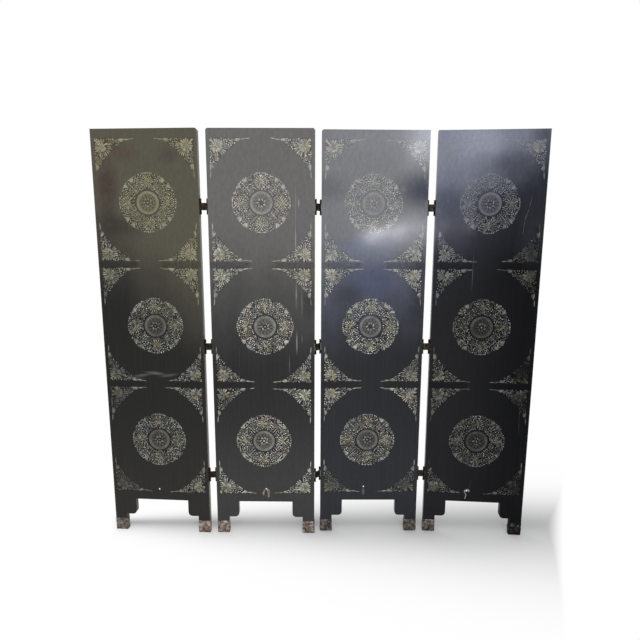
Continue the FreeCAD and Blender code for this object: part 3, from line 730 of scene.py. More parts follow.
# the colour of the bloom and painted sheen where they lie over the inlay
FILMS = {"panel_1": "#A29B72", "panel_2": "#A6A49C", "panel_3": "#A2A2A6", "panel_4": "#9296A2"}
# how far some areas differ in tint from the rest, and their two tints
TINGES = {
    "panel_1": (0.9, "#E8ECD4", "#FBEFDC"),
    "panel_2": (1.0, "#E8F0D8", "#FFE0CE"),
    "panel_3": (0.8, "#ECF0D2", "#FFE8D8"),
    "panel_4": (0.3, "#E4EEF0", "#F4F0FF"),
}
# stains of near black where the corner sprays have lost most of their face
RUBBED_SPRAYS = {
    "panel_1": [
        (50, 620, 120, 100, 0, "#2E2E2C", 0.35), (50, 1040, 130, 110, 0, "#2A2A28", 0.55),
        (50, 1190, 140, 130, 0, "#2A2A29", 0.75), (50, 1570, 140, 130, 0, "#2E2E2D", 0.8),
    ],
    "panel_2": [
        (50, 1030, 130, 110, 0, "#2E2E2D", 0.35), (410, 1030, 130, 110, 0, "#2E2E2D", 0.4),
        (50, 1180, 140, 130, 0, "#2E2E2D", 0.65),
    ],
    "panel_3": [
        (410, 1030, 130, 110, 0, "#2A2A2A", 0.5), (216, 1369, 170, 170, 0, "#2A2A2A", 0.25),
        (60, 1580, 140, 110, 0, "#2C2C2C", 0.75), (410, 1580, 140, 110, 0, "#262626", 0.8),
    ],
    "panel_4": [
        (425, 520, 110, 130, 0, "#202021", 0.8), (425, 640, 120, 110, 0, "#1E1E1F", 0.7),
        (425, 1030, 130, 120, 0, "#161617", 0.95), (425, 1180, 130, 110, 0, "#181819", 0.8),
        (425, 1580, 130, 120, 0, "#161617", 0.95),
    ],
}
print("rubbed sprays:", {panel: len(spots) for panel, spots in RUBBED_SPRAYS.items()})

# %% Make the shell and the gilt
# sizes of the patterns in millimetres
TINTED_AREAS = (60, 60, 60)
RUBBED_AREAS = (70, 70, 70)
# how far the rubbed areas go towards the tone of a slip that has lost its face
RUBBED_SHARE = 0.3
RUBBED_TONE = "#3E3D3A"
# each panel's patterns are shifted by its turn times this
PANEL_SHIFT = 50


def inlay_material(panel, name, tones, shift, tinge_strength):
    # tones run from a slip that has lost its face to one that is still bright
    material, tree, surface = new_material(f"{name}_{panel}")
    place = panel_coordinates(tree, panel)
    level = INLAY_WEAR_AND_SHADE[panel]
    own = add(tree, "Attribute", attribute_name="slip_tone").outputs["Fac"]
    steps = [(step / (len(tones) - 1), colour(tone, level)) for step, tone in enumerate(tones)]
    tone = add(tree, "ValToRGB", [own], steps)

    # broad areas are tinted, and others rubbed
    shifts = (shift, shift, shift + TURNS[panel] * PANEL_SHIFT)
    shifted = add(tree, "VectorMath", [place, shifts], operation="ADD")
    strength, cool, warm = TINGES[panel]
    tints = [(0.36, colour(cool)), (0.5, colour("#FFFFFF")), (0.62, colour(warm))]
    tinted = add(tree, "ValToRGB", [pattern(tree, shifted, TINTED_AREAS)], tints)
    tone = add(tree, "Mix", [tinge_strength * strength, tone, tinted], **OF_COLOURS, blend_type="MULTIPLY")
    areas = pattern(tree, shifted, RUBBED_AREAS)
    rubbed = add(tree, "MapRange", [areas, 0.58, 0.36, 0.0, RUBBED_SHARE], **SMOOTH)
    tone = add(tree, "Mix", [rubbed, tone, colour(RUBBED_TONE, level)], **OF_COLOURS)
    tone = spot_stains_and_reflections(tree, place, tone, RUBBED_SPRAYS[panel])

    # the bloom and the painted sheen and light lie over the inlay as a pale film, strongest high up
    share = lacquer_tone(tree, place, panel)[1]
    film = add(tree, "Math", [share, SLIP_FILMS[panel]], operation="MULTIPLY")
    tone = add(tree, "Mix", [film, tone, colour(FILMS[panel])], **OF_COLOURS)
    plug(tree, surface, {"Base Color": tone})
    polish(tree, place, surface, panel)
    return material


print("rubbed areas go", RUBBED_SHARE, "of the way to a lost face")

# %% Make the bed
# the size of the pattern in millimetres
BED_MOTTLES = (9, 9, 14)
BED_BLACK = "#0A0A0A"


def bed_material(panel):
    material, tree, surface = new_material(f"black_lacquer_bed_{panel}")
    place = panel_coordinates(tree, panel)
    ground, share = lacquer_tone(tree, place, panel)
    mottle = add(tree, "MapRange", [pattern(tree, place, BED_MOTTLES, 4.0), 0.0, 1.1], **SMOOTH)
    # where the bloom and painted sheen are full, the bed takes the tone round it; elsewhere it stays black
    film = add(tree, "Math", [share, BED_FILMS[panel]], operation="MULTIPLY")
    clear = add(tree, "Math", [1.0, film], operation="SUBTRACT")
    depth = add(tree, "Math", [mottle, clear], operation="MULTIPLY")
    tone = add(tree, "Mix", [depth, ground, colour(BED_BLACK)], **OF_COLOURS)
    plug(tree, surface, {"Base Color": tone})
    polish(tree, place, surface, panel)
    return material


print("bed black:", BED_BLACK)

# %% Dress the inlay of the four panels
INLAYS = {
    panel: (
        inlay_material(panel, "mother_of_pearl", ("#30302E", "#70716A", "#A8A9A0", "#FFFFFA"), 0.0, 0.6),
        inlay_material(panel, "faded_gilt", ("#65645A", "#959280", "#C0BCA4", "#E2DEC8"), 4.0, 0.7),
        inlay_material(panel, "pale_leaf_shell", ("#767874", "#9A9C94", "#B6B8AC", "#CDCEC2"), 8.0, 0.5),
        inlay_material(panel, "grey_ring_shell", ("#6A6A67", "#787976", "#838279", "#8B8A82"), 12.0, 0.3),
        bed_material(panel),
    ) for panel in PANELS
}
FINISHES = {"shell": 0, "gilt": 1, "pale": 2, "ring": 3, "bed": 4}
print("inlay finishes:", list(FINISHES), "materials:", sum(len(row) for row in INLAYS.values()))

# %% [markdown]
# ## Slips of inlay
# Thousands of slips share a few outlines. Each outline is made once with mesh operators: a
# disc that is stretched to a petal, bent to a comma or left round, then given its thickness.
# A slip is laid by adding that small mesh to the panel's inlay and moving its points, which
# is quick and keeps each slip down to about thirty triangles.

# %% Cut the outlines
INLAY_THICKNESS = 0.4 * MM


def give_thickness(shape, rise=(0, 0, 1)):
    # an outline is one unit thick until it is laid
    faces = list(shape.faces)
    grown = bmesh.ops.extrude_face_region(shape, geom=faces, use_keep_orig=True)
    raised = [item for item in grown["geom"] if isinstance(item, bmesh.types.BMVert)]
    bmesh.ops.translate(shape, vec=rise, verts=raised)
    bmesh.ops.recalc_face_normals(shape, faces=shape.faces)


def outline(name, segments, bend):
    # a unit disc whose points bend() moves; x runs along the slip, from 0 to 1
    shape = bmesh.new()
    bmesh.ops.create_circle(shape, cap_ends=True, segments=segments, radius=0.5)
    bmesh.ops.translate(shape, vec=(0.5, 0, 0), verts=shape.verts)
    for vertex in shape.verts:
        vertex.co.x, vertex.co.y = bend(vertex.co.x, vertex.co.y)
    give_thickness(shape)
    return mesh_from(name, shape)


OUTLINES = {
    "dot": outline("dot", 6, lambda x, y: (x, y)),
    "disc": outline("disc", 40, lambda x, y: (x, y)),
    # widest near the outer end, and pointed where it starts
    "petal": outline("petal", 8, lambda x, y: (x, y * (0.35 + 0.95 * x))),
    # widest in the middle with two points
    "leaf": outline("leaf", 8, lambda x, y: (x, y * (1 - abs(2 * x - 1) ** 3 * 0.6))),
    # a petal bent sideways
    "comma": outline("comma", 7, lambda x, y: (x, y * (1.3 - 0.9 * x) + 0.45 * x * x)),
    # a square turned onto its side
    "oblong": outline("oblong", 4, lambda x, y: (x - y, x + y - 0.5)),
}
print("outlines:", {name: len(mesh.polygons) for name, mesh in OUTLINES.items()}, "faces")

# %% [markdown]
# A ring is a flat strip closed on itself, and the broad shell ring is laid in short parts of
# one. An edge spun about its centre makes both.

# %% Spin the rings
def ring(name, inner_share, turn_degrees, steps):
    # the outer radius is 0.5, and the strip's inner radius a share of it
    shape = bmesh.new()
    near = shape.verts.new((0.5 * inner_share, 0, 0))
    far = shape.verts.new((0.5, 0, 0))
    edge = shape.edges.new((near, far))
    bmesh.ops.spin(
        shape, geom=[near, far, edge], cent=(0, 0, 0), axis=(0, 0, 1),
        angle=math.radians(turn_degrees), steps=steps, use_merge=turn_degrees == 360)
    give_thickness(shape)
    return mesh_from(name, shape)


RING_OUTLINES = {
    "loop": ring("loop", 0.5, 360, 6),
    "ring_part": ring("ring_part", 0.77, 28.6, 4),
    "fine_ring": ring("fine_ring", 0.95, 360, 32),
    "wide_ring": ring("wide_ring", 0.45, 360, 48),
}
OUTLINES.update(RING_OUTLINES)
print("rings:", {name: len(mesh.polygons) for name, mesh in RING_OUTLINES.items()}, "faces")

# %% [markdown]
# ## Laying slips
# A drawing is a list of slips: which outline, where its start lies in millimetres, which way
# it points, how long and wide it is, and its finish. Drawings are made flat, near the origin,
# and one function lays them on a panel. Hand work isn't exact, so each slip is laid a little
# off, and a few are missing.

# %% Describe a slip
def slip(kind, x, y, heading, length, breadth, finish="shell"):
    return (kind, x, y, math.radians(heading), length, breadth, finish)


print("a slip:", slip("dot", 0, 0, 0, 5, 5))

# %% Lay a drawing on a panel
# how far off a slip may be laid, in millimetres, and how far it may be turned
SLOPPY_PLACE = 0.35
SLOPPY_TURN = math.radians(5)
MISSING_SHARE = 0.03
BED_THICKNESS = 0.12 * MM
# a slip has at least this share of the full thickness
THINNEST_SHARE = 0.7
# rings are duller than dots, which are cut from the best of the shell
OWN_TONES = {"loop": (0.2, 0.7), "comma": (0.3, 0.95), "dot": (0.5, 1.0)}


def lay(shape, drawing, centre, mirror, chance):
    # centre is (u, z) in metres, and mirror the signs that flip the drawing in u and z
    layer = shape.verts.layers.float.get("slip_tone") or shape.verts.layers.float.new("slip_tone")
    for kind, x, y, heading, length, breadth, finish in drawing:
        if finish not in ("ring", "bed"):
            if chance.random() < MISSING_SHARE:
                continue
            x += chance.uniform(-SLOPPY_PLACE, SLOPPY_PLACE)
            y += chance.uniform(-SLOPPY_PLACE, SLOPPY_PLACE)
            heading += chance.uniform(-SLOPPY_TURN, SLOPPY_TURN)
        first_vertex = len(shape.verts)
        first_face = len(shape.faces)
        shape.from_mesh(OUTLINES[kind])
        shape.verts.ensure_lookup_table()
        shape.faces.ensure_lookup_table()
        cos_turn, sin_turn = math.cos(heading), math.sin(heading)
        # slips that overlap differ a little in height
        rise = BED_THICKNESS if finish == "bed" else INLAY_THICKNESS * chance.uniform(THINNEST_SHARE, 1.0)
        own_tone = chance.uniform(*OWN_TONES.get(kind, (0.0, 1.0)))
        for vertex in shape.verts[first_vertex:]:
            along, across = vertex.co.x * length, vertex.co.y * breadth
            u = x + along * cos_turn - across * sin_turn
            z = y + along * sin_turn + across * cos_turn
            vertex.co = (
                centre[0] + mirror[0] * u * MM,
                -vertex.co.z * rise,
                centre[1] + mirror[1] * z * MM,
            )
            vertex[layer] = own_tone
        for face in shape.faces[first_face:]:
            face.material_index = FINISHES[finish]


print("share of slips missing:", MISSING_SHARE)

# %% [markdown]
# What has been drawn becomes a named piece. It moves into the screen's frame and rides on its
# panel. It takes the place of the model's plainer nodes.

# %% Turn a drawing into a piece
def add_piece(name, shape, panel, materials, replaced=(), smooth=False):
    # into the screen's frame, riding on its panel, in place of the nodes that it replaces
    bmesh.ops.transform(shape, matrix=FRAMES[panel], verts=shape.verts)
    bmesh.ops.recalc_face_normals(shape, faces=shape.faces)
    for face in shape.faces:
        face.smooth = smooth
    piece = put_in_scene(name, mesh_from(name, shape))
    for material in materials:
        piece.data.materials.append(material)
    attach(piece, panel)
    if replaced:
        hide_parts(*replaced)
    print(name, len(piece.data.polygons), "faces")


def add_inlay(panel, name, shape):
    # in place of the model's plain plates
    add_piece(f"{panel}_{name}_slips", shape, panel, INLAYS[panel], [f"{panel}_{name}"])


print("ready to lay")

# %% [markdown]
# ## Filling a ground
# Between the flowers the ground is packed with scrolls, which at this scale look like lace:
# small rings with a dark eye, commas, and bright dots. Random points that keep clear of each
# other and of what is already drawn give that packed look. In a medallion they fill one
# eighth and are mirrored round, as the real drawing is.

# %% Scatter points
# how far apart the slips start, in millimetres
LACE_SPACING = 7.1


def scatter(chance, inside, box, tries):
    # points at least the spacing apart, within box, where inside() allows
    points = []
    for _ in range(tries):
        x = chance.uniform(box[0], box[2])
        y = chance.uniform(box[1], box[3])
        if not inside(x, y):
            continue
        if all(math.hypot(x - px, y - py) >= LACE_SPACING for px, py in points):
            points.append((x, y))
    return points


print("points are at least", LACE_SPACING, "mm apart")

# %% Turn points into rings, commas and dots
# in millimetres: how wide the rings and dots are, and the size of a comma
LACE_RINGS = (8.0, 9.6)
LACE_DOTS = (4.6, 6.0)
COMMA_LENGTH = 10
COMMA_BREADTH = 4.6
# the shares of rings and of commas; the rest are dots
RING_SHARE = 0.25
COMMA_SHARE = 0.25


def polar(radius, turn):
    return radius * math.cos(math.radians(turn)), radius * math.sin(math.radians(turn))


def lace(chance, points):
    drawing = []
    for x, y in points:
        heading = chance.uniform(0, 360)
        kind = chance.random()
        if kind < RING_SHARE:
            width = chance.uniform(*LACE_RINGS)
            drawing.append(slip("loop", x, y, heading, width, width))
        elif kind < RING_SHARE + COMMA_SHARE:
            back_x, back_y = polar(COMMA_LENGTH / 2, heading)
            drawing.append(slip("comma", x - back_x, y - back_y, heading, COMMA_LENGTH, COMMA_BREADTH))
        else:
            width = chance.uniform(*LACE_DOTS)
            drawing.append(slip("dot", x - width / 2, y, 0, width, width))
    return drawing


print("slips for two points:", len(lace(random.Random(1), [(0, 0), (10, 0)])))

# %% [markdown]
# ## A medallion
# From the rim inwards: pale leaves beside each diagonal, four round flowers of many fine
# rays, a ground packed with rings, commas and dots, a broad shell ring between two lines,
# and a rosette of rings and commas. Under it all lies the black bed, a plain ring and a disc.

# %% Draw a round flower
# in millimetres, the place from the medallion's middle
FLOWER_PLACE = 88
FLOWER_RADIUS = 27
# how many rays, the shares of the radius where they start and end, their breadth and finish
FLOWER_LAYERS = (
    (14, 0.5, 1.0, 0.19, "gilt"),
    (10, 0.18, 0.6, 0.17, "gilt"),
    (5, 0.04, 0.24, 0.14, "pale"),
)


def flower(x, y, radius, chance):
    # a star of fine rays in three layers round a small heart
    drawing = []
    for layer, (count, start, end, breadth, finish) in enumerate(FLOWER_LAYERS):
        for step in range(count):
            heading = 360 * (step + 0.5 * layer) / count
            aside, up = polar(start * radius, heading)
            length = (end - start) * radius * chance.uniform(0.8, 1.1)
            drawing.append(slip("leaf", x + aside, y + up, heading, length, radius * breadth, finish))
    return drawing


print("rays in a flower:", len(flower(0, 0, FLOWER_RADIUS, random.Random(1))))

# %% [markdown]
# The real medallion repeats itself eight times round. So one eighth of the ground is drawn,
# then mirrored and turned. The dots on the seam between two eighths are drawn once.

# %% Turn and mirror a drawing
def around(drawing, turn):
    # the drawing turned about the origin
    cos_turn, sin_turn = polar(1, turn)
    return [
        (kind, x * cos_turn - y * sin_turn, x * sin_turn + y * cos_turn,
         heading + math.radians(turn), length, breadth, finish)
        for kind, x, y, heading, length, breadth, finish in drawing
    ]


def flipped(drawing):
    # the drawing mirrored in the x axis
    return [
        (kind, x, -y, -heading, length, breadth, finish)
        for kind, x, y, heading, length, breadth, finish in drawing
    ]


print("a slip turned by 90 degrees:", around([slip("dot", 10, 0, 0, 5, 5)], 90)[0])

# %% Fill an eighth of the ground
# in millimetres from the medallion's middle
GROUND_INNER = 56
RIM_RADIUS = 127
# the rim is a little scalloped
SCALLOPS = 8
SCALLOP_DEPTH = 1.5
LEAF_PLACE = 105
# the turn of the leaves, in degrees from the diagonal and from each other
LEAF_TURN = 9.0
LEAF_SPREAD = 26
LEAF_SIZE = (20, 8)


def ground_eighth(chance):
    # from the x axis to just below the diagonal, clear of the flower and the leaves
    leaf_x, leaf_y = polar(LEAF_PLACE + 9, 45 - LEAF_TURN)

    def inside(x, y):
        rim = RIM_RADIUS - 4.5 + SCALLOP_DEPTH * math.cos(SCALLOPS * math.atan2(y, x))
        if not GROUND_INNER + 2 < math.hypot(x, y) < rim or y < 3.4 or y > x - 8:
            return False
        if math.hypot(x - FLOWER_PLACE, y) < FLOWER_RADIUS - 3:
            return False
        return math.hypot(x - leaf_x, y - leaf_y) > 11

    eighth = lace(chance, scatter(chance, inside, (40, 0, RIM_RADIUS, 90), 9000))
    x, y = polar(LEAF_PLACE, 45 - LEAF_TURN)
    for turn in (-LEAF_SPREAD, 0, LEAF_SPREAD):
        eighth.append(slip("leaf", x, y, 45 - LEAF_TURN + turn, *LEAF_SIZE, "pale"))
    return eighth


def seam_dots(chance):
    # a row of dots on the diagonal closes the seam between the mirrored eighths
    seam = []
    reach = GROUND_INNER + 4.5
    while reach < RIM_RADIUS - 4:
        width = chance.uniform(*LACE_DOTS)
        x, y = polar(reach, 45)
        seam.append(slip("dot", x - width / 2, y, 0, width, width))
        reach += chance.uniform(6.4, 8.4)
    return seam


print("dots on a seam:", len(seam_dots(random.Random(1))))

# %% Draw the rosette
# the rosette's rounds: how many, and how far from the middle
RINGS_AROUND = (12, 27)
COMMAS_AROUND = (7, 11)
# small gilt rings stand between the commas and further out
GILT_RING_REACH = 16.5
DOTS_AROUND = (5, 18)
HEART_WIDTH = 7.4


def rosette():
    # a round of dull rings, then small gilt rings and commas, and dots
    drawing = []
    count, radius = RINGS_AROUND
    for step in range(count):
        x, y = polar(radius, step * 360 / count)
        drawing.append(slip("loop", x, y, 0, 11, 11, "ring"))
    count, radius = COMMAS_AROUND
    for step in range(count):
        turn = step * 360 / count
        x, y = polar(radius, turn)
        drawing.append(slip("comma", x, y, turn + 60, 10, 5))
        x, y = polar(GILT_RING_REACH, turn + 180 / count)
        drawing.append(slip("loop", x, y, 0, 8.4, 8.4, "gilt"))
    count, radius = DOTS_AROUND
    for step in range(count):
        x, y = polar(radius, step * 360 / count + 40)
        drawing.append(slip("dot", x - 2, y, 0, 4, 4))
    drawing.append(slip("dot", -HEART_WIDTH / 2, 0, 0, HEART_WIDTH, HEART_WIDTH))
    return drawing


print("slips in a rosette:", len(rosette()))

# %% Draw a medallion
# widths in millimetres, and how many parts the broad ring has
BED_WIDTH = 242
DISC_WIDTH = 104
RING_WIDTH = 96
RING_PARTS = 12
RING_LINES = (97.6, 70)
RIM_DOT = 5.2


def medallion(chance):
    eighth = ground_eighth(chance)
    seam = seam_dots(chance)
    drawing = [
        slip("wide_ring", 0, 0, 0, BED_WIDTH, BED_WIDTH, "bed"),
        slip("disc", -DISC_WIDTH / 2, 0, 0, DISC_WIDTH, DISC_WIDTH, "bed"),
    ]
    for quarter in range(0, 360, 90):
        drawing += around(eighth, quarter)
        drawing += around(flipped(eighth), quarter)
        drawing += around(seam, quarter)
        drawing += around(flower(FLOWER_PLACE, 0, FLOWER_RADIUS, chance), quarter)
        for turn in range(-10, 11, 4):
            x, y = polar(RIM_RADIUS - 4, quarter + turn)
            drawing.append(slip("dot", x - RIM_DOT / 2, y, 0, RIM_DOT, RIM_DOT))
    for step in range(RING_PARTS):
        turn = step * 360 / RING_PARTS + 0.7
        drawing.append(slip("ring_part", 0, 0, turn, RING_WIDTH, RING_WIDTH, "ring"))
    for width in RING_LINES:
        drawing.append(slip("fine_ring", 0, 0, 0, width, width, "ring"))
    return drawing + rosette()


print("slips in a medallion:", len(medallion(random.Random(1))))

# %% Lay the medallions
# a medallion's outermost solid is wider than this, and the rings within it are not
LEAST_ROUND = 200 * MM

for panel in PANELS:
    chance = random.Random(f"{panel} medallions")
    shape = bmesh.new()
    for low, high in solid_boxes(panel, "medallions"):
        if high.x - low.x > LEAST_ROUND:
            centre = ((low.x + high.x) / 2, (low.z + high.z) / 2)
            lay(shape, medallion(chance), centre, (1, 1), chance)
    add_inlay(panel, "medallions", shape)

# %% [markdown]
# ## A corner spray
# Each corner of a field is filled by a big half-open chrysanthemum with broad petals, peach,
# yellow-green and cream. A fan of leaves opens from it towards the middle of the field. Rings,
# commas and dots run from it along both edges, and end in a leaf bud and a tail of long
# leaves. The plain lacquer left between the four sprays of a field is an upright oval.

# %% Draw the bloom of a spray
# in millimetres from the field's corner
BLOOM_PLACE = 34
PETAL_REACH = 31
CORNER_PETAL_REACH = 41
# how many petals, where they start, the share of the reach, their breadth
BLOOM_LAYERS = ((16, 11, 1.0, 8.4), (11, 4, 0.54, 5.6), (5, 0, 0.22, 3.6))
EDGE_CLEARANCE = 1.5
# the fan of leaves: how far from the bloom's middle it starts, then its two ends in degrees
FAN_START = 23
FAN_FROM = -12
FAN_TO = 103


def bloom(chance):
    # broad petals in three layers, cut short where they meet the field's edges
    drawing = []
    tint_turn = chance.uniform(0, 360)
    for layer, (count, start, share, breadth) in enumerate(BLOOM_LAYERS):
        for step in range(count):
            heading = 360 * (step + 0.5 * layer) / count
            cos_turn, sin_turn = polar(1, heading)
            reach = PETAL_REACH * share
            if FAN_FROM - 8 < (heading + 90) % 360 - 90 < FAN_TO + 8:
                # the fan of leaves takes over from these
                reach = min(reach, FAN_START + 2)
            for part in (cos_turn, sin_turn):
                if part < 0:
                    reach = min(reach, (BLOOM_PLACE - EDGE_CLEARANCE) / -part)
            if cos_turn < -0.5 and sin_turn < -0.5:
                # the petals in the very corner reach into it
                reach = max(reach, CORNER_PETAL_REACH * share)
            reach *= chance.uniform(0.9, 1.05)
            gilt = math.cos(math.radians(heading - tint_turn)) > -0.2
            drawing.append(slip(
                "petal", BLOOM_PLACE + cos_turn * start, BLOOM_PLACE + sin_turn * start,
                heading, reach - start, breadth, "gilt" if gilt else "pale"))
    return drawing


print("petals in a bloom:", len(bloom(random.Random(1))))

# %% [markdown]
# Under a spray lies its bed of black, which ends along the oval. A strip is swept along the
# oval, and what lies past the field's edges is cut off.

# %% Cut the bed of a spray
# the plain oval's edge as an arc, in millimetres from the field's corner
OVAL_RADIUS = 236
OVAL_CENTRE = 231.9
# how far the bed reaches along the field's lower edge, and up its side
BED_REACH = (118, 106)


def bed_outline():
    # a strip swept along the oval, then cut straight along the field's edges
    shape = bmesh.new()
    near = shape.verts.new((OVAL_RADIUS + 1, 0, 0))
    far = shape.verts.new((OVAL_RADIUS + 100, 0, 0))
    edge = shape.edges.new((near, far))
    bmesh.ops.spin(
        shape, geom=[near, far, edge], cent=(0, 0, 0), axis=(0, 0, 1), angle=math.radians(70),
        steps=14, use_merge=False)
    start = Matrix.Rotation(math.radians(190), 4, "Z")
    bmesh.ops.transform(shape, matrix=start, verts=shape.verts)
    bmesh.ops.translate(shape, vec=(OVAL_CENTRE, OVAL_CENTRE, 0), verts=shape.verts)
    for place, outwards in (
            ((EDGE_CLEARANCE, 0, 0), (-1, 0, 0)), ((0, EDGE_CLEARANCE, 0), (0, -1, 0)),
            ((BED_REACH[0], 0, 0), (1, 0, 0)), ((0, BED_REACH[1], 0), (0, 1, 0))):
        everything = list(shape.verts) + list(shape.edges) + list(shape.faces)
        bmesh.ops.bisect_plane(
            shape, geom=everything, plane_co=place, plane_no=outwards, clear_outer=True)
    give_thickness(shape)
    return mesh_from("spray_bed", shape)


OUTLINES["spray_bed"] = bed_outline()
print("bed of a spray:", len(OUTLINES["spray_bed"].polygons), "faces")

# %% Draw a corner spray
# how far the lace reaches along the field's lower edge, and up its side
LACE_REACH = (110, 105)
# a leaf of the fan, and the turn from one to the next in degrees
FAN_SIZE = (22, 6.2)
FAN_STEP = 14
# the leaf buds: where they start, then each leaf's turn and length
BUD_PLACE = (109, 107)
BUD_INSET = 5.5
BUD_LEAVES = ((3, 25), (17, 23), (32, 20), (49, 16))
BUD_BREADTH = 6
# the tails' leaves: the place, heading, length and breadth
TAIL_LEAVES = ((131, 8, -7, 25, 5.0), (152, 5, -4, 23, 3.2), (BUD_INSET, 134, 92, 32, 3.8))


def spray_ground(x, y):
    if x < 5 or y < 5 or x >= LACE_REACH[0] or y >= LACE_REACH[1]:
        return False
    if math.hypot(x - OVAL_CENTRE, y - OVAL_CENTRE) < OVAL_RADIUS + 4:
        return False
    reach = math.hypot(x - BLOOM_PLACE, y - BLOOM_PLACE)
    under_fan = reach < FAN_START + FAN_SIZE[0] + 2 and min(x, y) > BLOOM_PLACE - 4
    return reach >= PETAL_REACH + 3 and not under_fan


def corner_spray(chance):
    drawing = [slip("spray_bed", 0, 0, 0, 1, 1, "bed")] + bloom(chance)
    drawing += lace(chance, scatter(chance, spray_ground, (2, 2, 120, 112), 6000))
    # a fan of leaves between the bloom and the oval
    for turn in range(FAN_FROM, FAN_TO, FAN_STEP):
        x, y = polar(FAN_START, turn)
        drawing.append(slip("petal", BLOOM_PLACE + x, BLOOM_PLACE + y, turn, *FAN_SIZE, "pale"))
    # the leaf buds that end both arms, and their tails
    for turn, length in BUD_LEAVES:
        drawing.append(slip("leaf", BUD_PLACE[0], BUD_INSET, turn, length, BUD_BREADTH, "pale"))
        drawing.append(slip("leaf", BUD_INSET, BUD_PLACE[1], 90 - turn, length + 3, BUD_BREADTH, "pale"))
    for leaf in TAIL_LEAVES:
        drawing.append(slip("leaf", *leaf, "pale"))
    return drawing


print("slips in a spray:", len(corner_spray(random.Random(1))))

# %% Lay the corner sprays
# the start, length and breadth of the dark strip
BAND_STRIP = (-12.6, -13.4, 172, 24.5)


def band_strip():
    # the plain band between two fields has stayed dark from the edge to where the tail ends
    x, y, length, breadth = BAND_STRIP
    return [slip("oblong", x, y, 0, length, breadth, "bed")]


for panel in PANELS:
    chance = random.Random(f"{panel} sprays")
    shape = bmesh.new()
    for place, (low, high) in enumerate(solid_boxes(panel, "corner_inlays")):
        # the solids come in rows of two, from the floor up: lower corners, then upper ones
        upper = place // 2 % 2 == 1
        at_left = (low.x + high.x) / 2 < PANEL_WIDTH / 2
        corner = (low.x if at_left else high.x, high.z if upper else low.z)
        mirror = (1 if at_left else -1, -1 if upper else 1)
        lay(shape, corner_spray(chance), corner, mirror, chance)
        if not upper and place > 1:
            lay(shape, band_strip(), corner, mirror, chance)
    add_inlay(panel, "corner_inlays", shape)

# %% [markdown]
# ## Dented brass shoes
# Each foot stands in a cup folded from thin sheet brass. The cup starts as a box with its
# upright and lower edges bevelled and its top taken off. Dividing it finely and moving its
# points by a noise gives the dents and bulges of long use. They never sink as deep as the
# wood, which stays hidden inside.

# %% Fold a cup
SHOE_ROUND = 3 * MM
SHOE_CELL = 3.2 * MM


def open_cup(low, high):
    shape = bmesh.new()
    bmesh.ops.create_cube(shape, size=1)
    bmesh.ops.scale(shape, vec=high - low, verts=shape.verts)
    bmesh.ops.translate(shape, vec=(low + high) / 2, verts=shape.verts)
    sharp = [edge for edge in shape.edges if any(vertex.co.z < high.z - MM for vertex in edge.verts)]
    bmesh.ops.bevel(
        shape, geom=sharp, offset=SHOE_ROUND, segments=3, profile=0.5, affect="EDGES", material=-1)
    top = [face for face in shape.faces if all(vertex.co.z > high.z - 0.1 * MM for vertex in face.verts)]
    bmesh.ops.delete(shape, geom=top, context="FACES_ONLY")
    # edges are halved, up to three times each way, until the cells are small enough to dent
    for axis in (0, 0, 0, 1, 1, 1, 2, 2, 2):
        long_edges = [
            edge for edge in shape.edges
            if edge.calc_length() > SHOE_CELL * 1.5
            and abs(edge.verts[0].co[axis] - edge.verts[1].co[axis]) > 0.9 * edge.calc_length()]
        if long_edges:
            bmesh.ops.subdivide_edges(shape, edges=long_edges, cuts=1, use_grid_fill=True)
    return shape


print("edges over", round(SHOE_CELL * 1.5 / MM, 1), "mm are halved")

# %% Dent a cup
DENT_SIZE = 15 * MM
DENT_DEPTH = 0.75 * MM
BULGE_HEIGHT = 1.6 * MM
# a broad noise with a finer one over it: how strong they are, and how much finer
BROAD_SWELL = 1.5
FINE_SWELL = 0.6
FINER = 2.7
# the dents fade out towards the floor
FLAT_FOOT = 6 * MM


def dent(shape, floor_height, shift):
    shape.normal_update()
    moves = []
    for vertex in shape.verts:
        place = vertex.co / DENT_SIZE + Vector((shift, shift, 0))
        swell = noise.noise(place) * BROAD_SWELL + noise.noise(place * FINER) * FINE_SWELL
        move = max(-DENT_DEPTH, min(BULGE_HEIGHT, swell * BULGE_HEIGHT))
        outwards = vertex.normal.copy()
        # the sole stays flat on the floor
        outwards.z = 0
        lift = min(1.0, (vertex.co.z - floor_height) / FLAT_FOOT)
        moves.append((vertex, outwards * move * lift))
    for vertex, move in moves:
        vertex.co += move


print("dents stop at", round(DENT_DEPTH / MM, 2), "mm and bulges at", round(BULGE_HEIGHT / MM, 2), "mm")

# %% Hammer the shoes
SHEET_THICKNESS = 0.8 * MM
# no two shoes are dented alike: the noise is shifted by panel and by side
PANEL_STEP = 7.3
SIDE_STEP = 3.1
# 0 tarnished, 1 greyed, 2 blackened, for the left and the right foot
SHOE_METALS = {"panel_1": (1, 0), "panel_2": (0, 0), "panel_3": (1, 1), "panel_4": (1, 2)}


def join(whole, shape):
    # one bmesh takes in another by way of a mesh that is then thrown away
    passing = mesh_from("passing", shape)
    whole.from_mesh(passing)
    bpy.data.meshes.remove(passing)


for number, panel in enumerate(PANELS):
    shoes = bmesh.new()
    for side, (low, high) in enumerate(solid_boxes(panel, "shoes")):
        shape = open_cup(low, high)
        dent(shape, low.z, number * PANEL_STEP + side * SIDE_STEP)
        bmesh.ops.recalc_face_normals(shape, faces=shape.faces)
        bmesh.ops.solidify(shape, geom=shape.faces, thickness=SHEET_THICKNESS)
        for face in shape.faces:
            face.material_index = SHOE_METALS[panel][side]
        join(shoes, shape)
    add_piece(
        f"{panel}_dented_shoes", shoes, panel, [TARNISHED_BRASS, GREYED_BRASS, BLACKENED_BRASS],
        [f"{panel}_shoes"], smooth=True)

